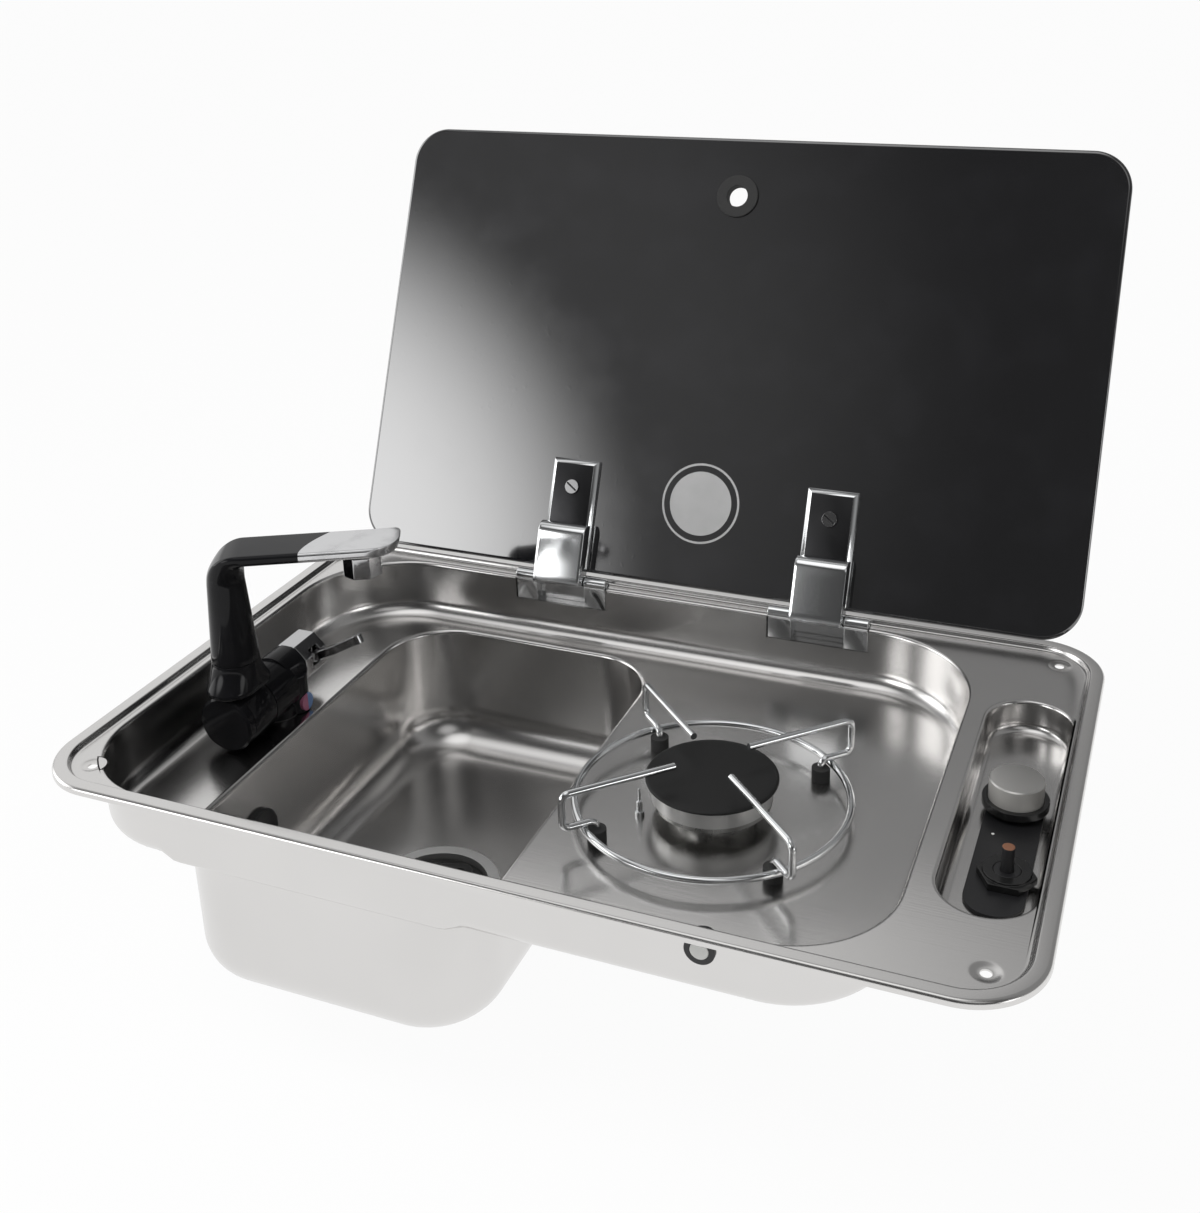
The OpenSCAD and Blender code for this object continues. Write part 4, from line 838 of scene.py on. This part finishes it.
def spout_shape():
    """Matching points of a circle (angle) and of the blade's section (across, share of thickness)."""
    half_w, half_t, r = SPOUT_WIDTH / 2, SPOUT_HALF, 2.5
    out = []
    corners = ((1, 1, 0), (-1, 1, 90), (-1, -1, 180), (1, -1, 270))
    for k, (sx, sy, start) in enumerate(corners):
        for i in range(9):
            a = radians(start + 90 * i / 8)
            out.append((start + 25 + 40 * i / 8, sx * (half_w - r) + r * cos(a),
                        (sy * (half_t - r) + r * sin(a)) / half_t))
        flat = k in (0, 2)
        steps, w, v = (28, half_w - r, 1.0) if flat else (10, half_w, (half_t - r) / half_t)
        nx, ny, _ = corners[(k + 1) % 4]
        for i in range(1, steps):
            t = i / steps
            out.append((start + 65 + 50 * t, (sx + (nx - sx) * t) * w, (sy + (ny - sy) * t) * v))
    middle = min(range(len(out)), key=lambda i: abs(out[i][0] - 360))
    return out[middle:] + out[:middle]


def spout_piece(name, rings):
    """Bridges rings of (x, y, z) in the spout's own frame, in millimetres, and closes both ends."""
    bm = bmesh.new()
    made = [[vert(bm, *p) for p in ring] for ring in rings]
    bridged(bm, made)
    count = len(rings[0])
    for ring in (made[0], made[-1]):
        for i in range(count // 2):
            faced(bm, ring[i], ring[i + 1], ring[(count - i - 1) % count], ring[(count - i) % count])
    return finished(bm, name, 34, moved(*TAP[:2]) @ spun(SPOUT_TURN, "Z"))


def seam_at(y):
    """Where the black blade ends and the satin tip starts."""
    return 50.6 + 20.8 * ((y + 18.0) / 36.0) ** 1.7


def tip_end(y, share):
    """Plan of the spout's end, a little shorter below than on top."""
    x = 116.0
    if y < 4.0:
        x = 94.0 + sqrt(max(0.0, 22.0 ** 2 - (y - 4.0) ** 2))
    elif y > 11.0:
        x = 109.0 + sqrt(max(0.0, 7.0 ** 2 - (y - 11.0) ** 2))
    return x - 1.6 * (1.0 - share)


def column_rings(shape):
    """Rings of the column from its bore up to the elbow, then of the elbow and the black blade."""
    turns = [(sin(radians(a)), cos(radians(a))) for a, _, _ in shape]
    round_rows = [(8.05, 32.35), (8.05, 20.32), (15.7, 20.32), (15.92, 20.45), (COLUMN_R, COLUMN_Z)]
    for k in range(1, 9):
        z = COLUMN_Z + (ELBOW_Z - COLUMN_Z) * k / 8
        round_rows.append((COLUMN_R - COLUMN_TAPER * (z - 20.0), z))
    rings = [[(-r * s, r * c, z) for s, c in turns] for r, z in round_rows]
    for k in range(1, 19):
        t = k / 18
        mix = eased(t)
        turn = radians(90 * t)
        outer = (ELBOW_ARC - ELBOW_R - ELBOW_ARC * cos(turn), ELBOW_Z + ELBOW_ARC * sin(turn))
        if t < 0.6:
            inner = (ELBOW_R, ELBOW_Z + 14.0 * t / 0.6)
        else:
            bend = radians(90 * (t - 0.6) / 0.4)
            inner = (ELBOW_R + 3.0 * (1 - cos(bend)), SPOUT_MIDDLE - SPOUT_HALF - 3.0 * (1 - sin(bend)))
        rings.append([])
        for (s, c), (_, across, share) in zip(turns, shape):
            v = ((1 - mix) * s + mix * share + 1) / 2
            rings[-1].append((inner[0] + (outer[0] - inner[0]) * v, (1 - mix) * ELBOW_R * c + mix * across,
                              inner[1] + (outer[1] - inner[1]) * v))
    for t in (0.03, 0.3, 0.6, 0.97, 1.0):
        rings.append([(17.0 + (seam_at(across) - 17.0) * t, across, SPOUT_MIDDLE + SPOUT_HALF * share)
                      for _, across, share in shape])
    return rings


def tip_rings(shape):
    """Rings of the satin tip, with its rounded end: share of its length, cut short by, share of thickness."""
    rings = []
    for t, short, thin in ((0.0, 0.0, 1.0), (0.04, 0.0, 1.0), (0.3, 0.0, 1.0), (0.6, 0.0, 1.0), (0.85, 0.0, 1.0),
                           (1.0, 0.7, 1.0), (1.0, 0.3, 0.97), (1.0, 0.07, 0.9), (1.0, 0.0, 0.8)):
        rings.append([(seam_at(across) + 0.02 + (tip_end(across, (share + 1) / 2) - short - seam_at(across)) * t,
                       across, SPOUT_MIDDLE + SPOUT_HALF * share * thin) for _, across, share in shape])
    return rings


class HOBSINK_OT_tap(Operator):
    """Finish the folding tap, its mixer and the fittings under it."""

    bl_idname = "hobsink.tap"
    bl_label = "Folding tap"

    def execute(self, context):
        refined("tap_gloss", "tap_black", tap_base=0.5, tap_end_cap=0.6)
        self.hub()
        shape = spout_shape()
        stands(spout_piece("tap_column_dressed", column_rings(shape)), "tap_column", "tap_black", "tap_gloss")
        stands(spout_piece("spout_tip_dressed", tip_rings(shape)), "spout_tip", "tap_chrome", "tip_satin")
        # The aerator and the handle take the darker chrome: painted shade for their dark facets.
        refined("facet_chrome", "tap_chrome", aerator=0.7, mixer_handle=0.7)
        self.lever()
        refined("pale_plastic", mixer_cartridge=0.4)
        refined("hot_cold", "disc_blue", temperature_disc=0.4)
        refined("seal_rubber", tap_gasket=0.1)
        refined("fitting_brass", tap_nut=0.6, water_tails=0.5)
        return {"FINISHED"}

    def hub(self):
        """The hub round the fold pin, with the flared foot that carries the spigot."""
        x, y, z = TAP
        bm = bmesh.new()
        barrel = [(6.05, 0.0), (19.3, 0.0), (19.8, 0.2), (20.0, 0.7), (20.0, 24.3), (19.8, 24.8), (19.3, 25.0),
                  (6.05, 25.0), (6.05, 0.0)]
        lathe(bm, barrel, moved(x, y - 12.5, z) @ spun(-90, "X"), 96)
        box_into(bm, (x - 10.0, y - 12.5, z + 14.0), (x + 10.0, y + 12.5, z + 22.5))
        # The foot narrows from a long oval to the round spigot: radius, half its straight part, height.
        foot = [(16.4, 6.4, -0.5), (16.85, 6.85, -0.3), (17.0, 7.0, 0.2), (17.0, 7.0, 2.5)]
        foot += [(17.0 - k / 18, 7.0 * (1 - k / 18) ** 1.7, 2.5 + 17.3 * k / 18) for k in range(1, 19)]
        foot += [(15.8, 0.0, 20.0), (8.0, 0.0, 20.0), (8.0, 0.0, 31.6), (7.6, 0.0, 32.0)]
        loops = [[vert(bm, x + r * c, y + r * s + copysign(reach, s), h) for c, s in around(96, 0.5)]
                 for r, reach, h in foot]
        bridged(bm, loops)
        bm.faces.new(loops[0][::-1])
        bm.faces.new(loops[-1])
        stands(finished(bm, "tap_hub_dressed", 34), "tap_hub", "tap_black", "tap_gloss")

    def lever(self):
        """The cranked lever, wider towards its fat tip."""
        stops = (((0.0, 0.0), (-0.156, 0.988), 2.4), ((18.6, 2.9), (-0.375, 0.927), 3.0),
                 ((33.0, 13.0), (-0.581, 0.814), 3.3))
        sides = [(p[0] + n[0] * h, p[1] + n[1] * h) for p, n, h in stops]
        sides += [(p[0] - n[0] * h, p[1] - n[1] * h) for p, n, h in reversed(stops)]
        bm = bmesh.new()
        rows = [[vert(bm, u, v, h) for u, v in sides] for h in (-3.1, 3.1)]
        bm.faces.new(rows[0][::-1])
        bm.faces.new(rows[1])
        bridged(bm, rows)
        lathe(bm, rod(4.0, -3.3, 3.3), moved(33.0, 13.0), 32)
        bm.transform(spun(-LEVER_RISE, "Y"))
        lathe(bm, rod(3.4, -3.6, 3.6), moved(0, 0), 32)
        obj = finished(bm, "mixer_lever_dressed", 34, moved(*LEVER_AT))
        edged(obj, 0.55)
        # The lever takes the darker chrome: painted shade for its dark reflections.
        stands(obj, "mixer_lever", "tap_chrome", "lever_chrome")


# ---- Waste and overflow


class HOBSINK_OT_waste(Operator):
    """Finish the waste, its plug and the overflow."""

    bl_idname = "hobsink.waste"
    bl_label = "Waste and overflow"

    def execute(self, context):
        refined("waste_steel", waste_flange=0.3)
        refined("plug_gloss", "tap_black", waste_plug=0.8)
        refined("seal_rubber", plug_seal=0.4, waste_gasket=0.4)
        refined("waste_plastic", waste_body=0.8)
        refined("black_plastic", "tap_black", overflow_cover=0.3)
        refined("waste_plastic", overflow_elbow=0.6)
        return {"FINISHED"}


# ---- Burner and trivet


class HOBSINK_OT_burner(Operator):
    """Finish the burner, its cap, its electrode and the gas fittings."""

    bl_idname = "hobsink.burner"
    bl_label = "Gas burner"

    def execute(self, context):
        refined("cup_dark", "burner_casting", burner_cup=0.6)
        refined("waste_steel", "wire_chrome", burner_ring=0.25)
        profile = [(0, -23.1), (32.0, -23.1), (32.6, -22.6), (32.6, -20.1), (40.6, -20.1), (41.3, -19.95),
                   (41.6, -19.6), (41.6, -19.2), (41.45, -18.75), (41.0, -18.35), (40.2, -18.08),
                   (38.5, -17.9), (34.0, -17.78), (24.0, -17.72), (0, -17.7)]
        stands(turned("burner_cap_dressed", profile, BURNER), "burner_cap", "cap_enamel", "cap_enamel")
        refined("wire_chrome", "ceramic", spark_electrode=0.2)
        refined("burner_casting", "fitting_brass", thermocouple=0.3)
        refined("pipe_metal", mixing_tube=0.3)
        refined("fitting_brass", gas_injector=0.4)
        refined("pipe_metal", burner_nut=0.5, gas_pipe=0, gas_inlet=0.3)
        return {"FINISHED"}


class HOBSINK_OT_trivet(Operator):
    """Bend the trivet's arms and ring from wire, with its rubber feet."""

    bl_idname = "hobsink.trivet"
    bl_label = "Wire trivet"

    def execute(self, context):
        self.arms(sizes().arm_wire + ARM_EXTRA * MM, sizes().ring_wire)
        self.ring(sizes().ring_wire / MM)
        refined("seal_rubber", trivet_feet=0.8)
        return {"FINISHED"}

    def arms(self, thick, ring_wire):
        """The arms: each rises from its foot, crosses the ring outward, rises and reaches in over the burner."""
        low = RING_Z + (ring_wire + thick) / MM - 0.1
        path = [(78.0, -39.0), (78.0, low), (100.0, low), (100.0, -5.0), (25.6, -5.0)]
        host = bpy.data.meshes.new("trivet_arms_dressed")
        host.from_pydata([(x * MM, 0, z * MM) for x, z in path], [(i, i + 1) for i in range(4)], [])
        obj = linked("trivet_arms_dressed", host)
        mod = obj.modifiers.new("Arms", "NODES")
        mod.node_group = wire_arms_tree()
        values = {"Wire radius": thick, "Bend radius": 0.005, "Arms": sizes().trivet_arms,
                  "First turn": radians(45), "Centre": (BURNER[0] * MM, BURNER[1] * MM, 0.0),
                  "Finish": bpy.data.materials["wire_chrome"]}
        for item in mod.node_group.interface.items_tree:
            if item.in_out == "INPUT" and item.name in values:
                mod[item.identifier] = values[item.name]
        baked(obj)
        stands(obj, "trivet_arms", "wire_chrome", "wire_chrome")

    def ring(self, wire):
        bm = bmesh.new()
        rings = [[vert(bm, BURNER[0] + (RING_R + wire * u) * c, BURNER[1] + (RING_R + wire * u) * s,
                       RING_Z + wire * v) for u, v in around(20)] for c, s in around(144)]
        bridged(bm, rings + rings[:1])
        stands(finished(bm, "trivet_ring_dressed", 60), "trivet_ring", "wire_chrome", "wire_chrome")


def wire_arms_tree():
    """Geometry nodes: a polyline becomes a bent wire, repeated round a centre."""
    tree = bpy.data.node_groups.new("Wire arms", "GeometryNodeTree")
    for label, kind in {"Path": "Geometry", "Wire radius": "Float", "Bend radius": "Float", "Arms": "Int",
                        "First turn": "Float", "Centre": "Vector", "Finish": "Material"}.items():
        tree.interface.new_socket(name=label, in_out="INPUT", socket_type="NodeSocket" + kind)
    tree.interface.new_socket(name="Arms made", in_out="OUTPUT", socket_type="NodeSocketGeometry")
    given, end = tree.nodes.new("NodeGroupInput").outputs, tree.nodes.new("NodeGroupOutput")
    curve = added(tree, "GeometryNodeMeshToCurve", {"Mesh": given["Path"]})
    bend = added(tree, "GeometryNodeFilletCurve",
                 {"Curve": curve["Curve"], "Count": 8, "Radius": given["Bend radius"]}, mode="POLY")
    circle = added(tree, "GeometryNodeCurvePrimitiveCircle", {"Resolution": 18, "Radius": given["Wire radius"]})
    wire = added(tree, "GeometryNodeCurveToMesh",
                 {"Fill Caps": True, "Curve": bend["Curve"], "Profile Curve": circle["Curve"]})
    points = added(tree, "GeometryNodePoints", {"Count": given["Arms"], "Position": given["Centre"]})
    index = added(tree, "GeometryNodeInputIndex")["Index"]
    share = worked(tree, "DIVIDE", index, given["Arms"])
    turn = worked(tree, "MULTIPLY_ADD", share, tau, given["First turn"])
    angles = added(tree, "CombineXYZ", {"Z": turn})
    place = added(tree, "GeometryNodeInstanceOnPoints",
                  {"Points": points[0], "Instance": wire["Mesh"], "Rotation": angles["Vector"]})
    real = added(tree, "GeometryNodeRealizeInstances", {"Geometry": place["Instances"]})
    made = added(tree, "GeometryNodeSetMaterial", {"Geometry": real["Geometry"], "Material": given["Finish"]})
    fed(tree, end, {"Arms made": made["Geometry"]})
    return tree


# ---- Controls


class HOBSINK_OT_controls(Operator):
    """Finish the knob, the igniter, their plate and the fittings below."""

    bl_idname = "hobsink.controls"
    bl_label = "Controls"

    def execute(self, context):
        refined("black_plastic", "tap_black", control_plate=0.3)
        refined("plug_gloss", "tap_black", knob_skirt=0.9)
        cap = refined("brushed_silver", "knob_silver", knob_cap=0.4)
        cap.data.materials.append(bpy.data.materials["cap_silver"])
        for face in cap.data.polygons:
            face.material_index = int(abs(face.normal.z) < 0.5)
        refined("pipe_metal", valve_spindle=0.2, valve_plug=0.3)
        refined("fitting_brass", gas_valve=1.2)
        refined("black_plastic", "tap_black", igniter_body=0.5)
        refined("plug_gloss", "tap_black", igniter_nut=0.8)
        self.button()
        refined("black_plastic", "tap_black", wall_grommet=0.4)
        refined("pale_plastic", grommet_disc=0.3)
        dot = turned("plate_dot", [(0, -18.0), (0.9, -18.0), (0.9, -17.95), (0, -17.93)], PLATE_DOT)
        dressed(dot, "basin", "pale_plastic", [], "pale_plastic")
        return {"FINISHED"}

    def button(self):
        """Dark igniter button with a warm brown top."""
        profile = [(0, -23.5), (3.6, -23.5), (3.6, 2.2), (3.45, 2.6), (3.1, 2.85), (2.7, 2.93), (2.3, 2.96), (0, 3.0)]
        obj = turned("igniter_button_dressed", profile, IGNITER)
        stands(obj, "igniter_button", "button_brown", "black_plastic", "button_brown")
        for face in obj.data.polygons:
            face.material_index = int(face.center.z > 2.7 * MM)


# ---- Stage


def direction(azimuth, elevation):
    """Towards a place in the studio. Azimuth 0 is the front and 90 the right."""
    a, e = radians(azimuth), radians(elevation)
    return (sin(a) * cos(e), -cos(a) * cos(e), sin(e))


# Soft panels of the studio: azimuth, elevation, half width in degrees, strength.
PANELS = (
    (-36.8, 14.8, 17.5, 3.7),
    (-34.0, 24.0, 26.0, 0.14),
    (-82.0, 16.0, 30.0, 2.2),
    (-135.0, 34.0, 44.0, 0.6),
    (-32.0, 74.0, 26.0, 1.1),
    (30.0, 48.0, 20.0, 0.5),
    (66.0, 8.0, 14.0, 2.6),
)

# The studio is darker at the front, where the lid and the covers look: azimuth and elevation, the angles
# where it starts and is full, and what is left of the light.
DARK_AT, DARK_FROM, DARK_FULL, DARK_LEFT = (8.0, 28.0), 72, 40, 0.22


class HOBSINK_OT_stage(Operator):
    """Set the pale floor, the soft studio light and the camera."""

    bl_idname = "hobsink.stage"
    bl_label = "Stage"

    def execute(self, context):
        self.floor()
        self.studio()
        self.lamps()
        self.camera()
        context.scene.view_settings.view_transform = "Standard"
        return {"FINISHED"}

    def floor(self):
        """A floor that is white to the camera and a pale matte to the light."""
        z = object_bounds()[0].z
        mesh = bpy.data.meshes.new("pale_floor")
        mesh.from_pydata([(-25, -25, z), (25, -25, z), (25, 25, z), (-25, 25, z)], [], [(0, 1, 2, 3)])
        obj = linked("pale_floor", mesh)
        tree, bsdf = blank("pale_floor")
        tree.nodes.remove(bsdf)
        matte = added(tree, "BsdfDiffuse", {"Color": (0.8, 0.8, 0.8, 1)})
        white = added(tree, "Emission")
        path = added(tree, "LightPath")
        seen = worked(tree, "MAXIMUM", path["Is Camera Ray"], path["Is Glossy Ray"])
        seen = worked(tree, "MAXIMUM", seen, path["Is Transmission Ray"])
        share = worked(tree, "MULTIPLY", seen, 0.95)
        mix = added(tree, "MixShader", {"Fac": share, 1: matte["BSDF"], 2: white["Emission"]})
        fed(tree, tree.nodes["Material Output"], {"Surface": mix["Shader"]})
        mesh.materials.append(bpy.data.materials["pale_floor"])
        obj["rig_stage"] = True

    def studio(self):
        """World: white to the camera, and a soft studio with panels to everything else."""
        world = bpy.data.worlds.new("studio")
        bpy.context.scene.world = world
        world.use_nodes = True
        tree = world.node_tree
        tree.nodes.clear()
        way = added(tree, "TexCoord")["Generated"]

        def lobe(azimuth, elevation, low, high, start, end, how):
            """A soft patch round a direction, from start to end degrees away from it."""
            near = added(tree, "VectorMath", {0: way, 1: direction(azimuth, elevation)}, operation="DOT_PRODUCT")
            return ranged(tree, near["Value"], low, high, cos(radians(start)), cos(radians(end)), how)

        height = added(tree, "SeparateXYZ", {"Vector": way})["Z"]
        total = ranged(tree, height, 0.95, 0.26, -0.02, 0.12, "SMOOTHSTEP")
        total = worked(tree, "MULTIPLY", total, lobe(*DARK_AT, 1.0, DARK_LEFT, DARK_FROM, DARK_FULL, "SMOOTHSTEP"))
        for azimuth, elevation, half, strength in PANELS:
            total = worked(tree, "ADD", total, lobe(azimuth, elevation, 0.0, strength, half, 0, "SMOOTHERSTEP"))
        path = added(tree, "LightPath")
        seen = worked(tree, "MAXIMUM", path["Is Camera Ray"], path["Is Transmission Ray"])
        pick = added(tree, "Mix", {"Factor": seen, "A": total, "B": 1.0}, data_type="FLOAT")["Result"]
        back = added(tree, "Background", {"Color": (1.0, 1.0, 1.0, 1.0), "Strength": pick})
        added(tree, "OutputWorld", {"Surface": back["Background"]})

    def lamps(self):
        """A large soft key lamp over the left front and a fill over the right."""
        for name, azimuth, elevation, size, power in (("key", -40, 55, 0.9, 14.0), ("fill", 60, 50, 1.2, 6.0)):
            data = told(bpy.data.lights.new(name, "AREA"), shape="DISK", size=size, energy=power)
            way = Vector(direction(azimuth, elevation))
            told(linked(name, data), location=way * 1.8, visible_glossy=False,
                 rotation_euler=(-way).to_track_quat("-Z", "Y").to_euler())

    def camera(self):
        """The camera that was fitted to the photograph."""
        azimuth, elevation, roll = CAMERA_TURN
        wide, high = FRAME_PX
        data = told(bpy.data.cameras.new("photo_camera"), sensor_fit="HORIZONTAL", sensor_width=36.0,
                    lens=36.0 * FOCAL_PX / wide, shift_x=(wide / 2 - CENTRE_PX[0]) / wide,
                    shift_y=(CENTRE_PX[1] - high / 2) / wide)
        obj = linked("photo_camera", data)
        obj.matrix_world = (Matrix.Translation(CAMERA_AT) @ spun(azimuth, "Z") @ spun(90 - elevation, "X")
                            @ spun(roll, "Z"))
        bpy.context.scene.camera = obj


# ---- Sidebar and run


OPERATORS = (
    HOBSINK_OT_sheet, HOBSINK_OT_lid, HOBSINK_OT_hinges, HOBSINK_OT_tap, HOBSINK_OT_waste,
    HOBSINK_OT_burner, HOBSINK_OT_trivet, HOBSINK_OT_controls, HOBSINK_OT_stage,
)


class HOBSINK_PT_sidebar(Panel):
    """Sizes, colours and the steps that build the unit."""

    bl_idname = "HOBSINK_PT_sidebar"
    bl_label = "Hob and Sink"
    bl_space_type = "VIEW_3D"
    bl_region_type = "UI"
    bl_category = "Hob and Sink"

    def draw(self, context):
        column = self.layout.column(align=True)
        for group in (sizes(), colours()):
            for prop in group.bl_rna.properties:
                if prop.identifier not in {"rna_type", "name"}:
                    column.prop(group, prop.identifier)
        for operator in OPERATORS:
            column.operator(operator.bl_idname)


CLASSES = (HobSinkSizes, HobSinkColours, *OPERATORS, HOBSINK_PT_sidebar)


def register():
    for cls in CLASSES:
        bpy.utils.register_class(cls)
    bpy.types.Scene.hob_sink_sizes = bpy.props.PointerProperty(type=HobSinkSizes)
    bpy.types.Scene.hob_sink_colours = bpy.props.PointerProperty(type=HobSinkColours)


def unregister():
    del bpy.types.Scene.hob_sink_sizes
    del bpy.types.Scene.hob_sink_colours
    for cls in reversed(CLASSES):
        bpy.utils.unregister_class(cls)


def main():
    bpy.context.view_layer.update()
    register()
    make_finishes()
    for step in OPERATORS:
        group, name = step.bl_idname.split(".")
        getattr(getattr(bpy.ops, group), name)()


if __name__ == "__main__":
    main()
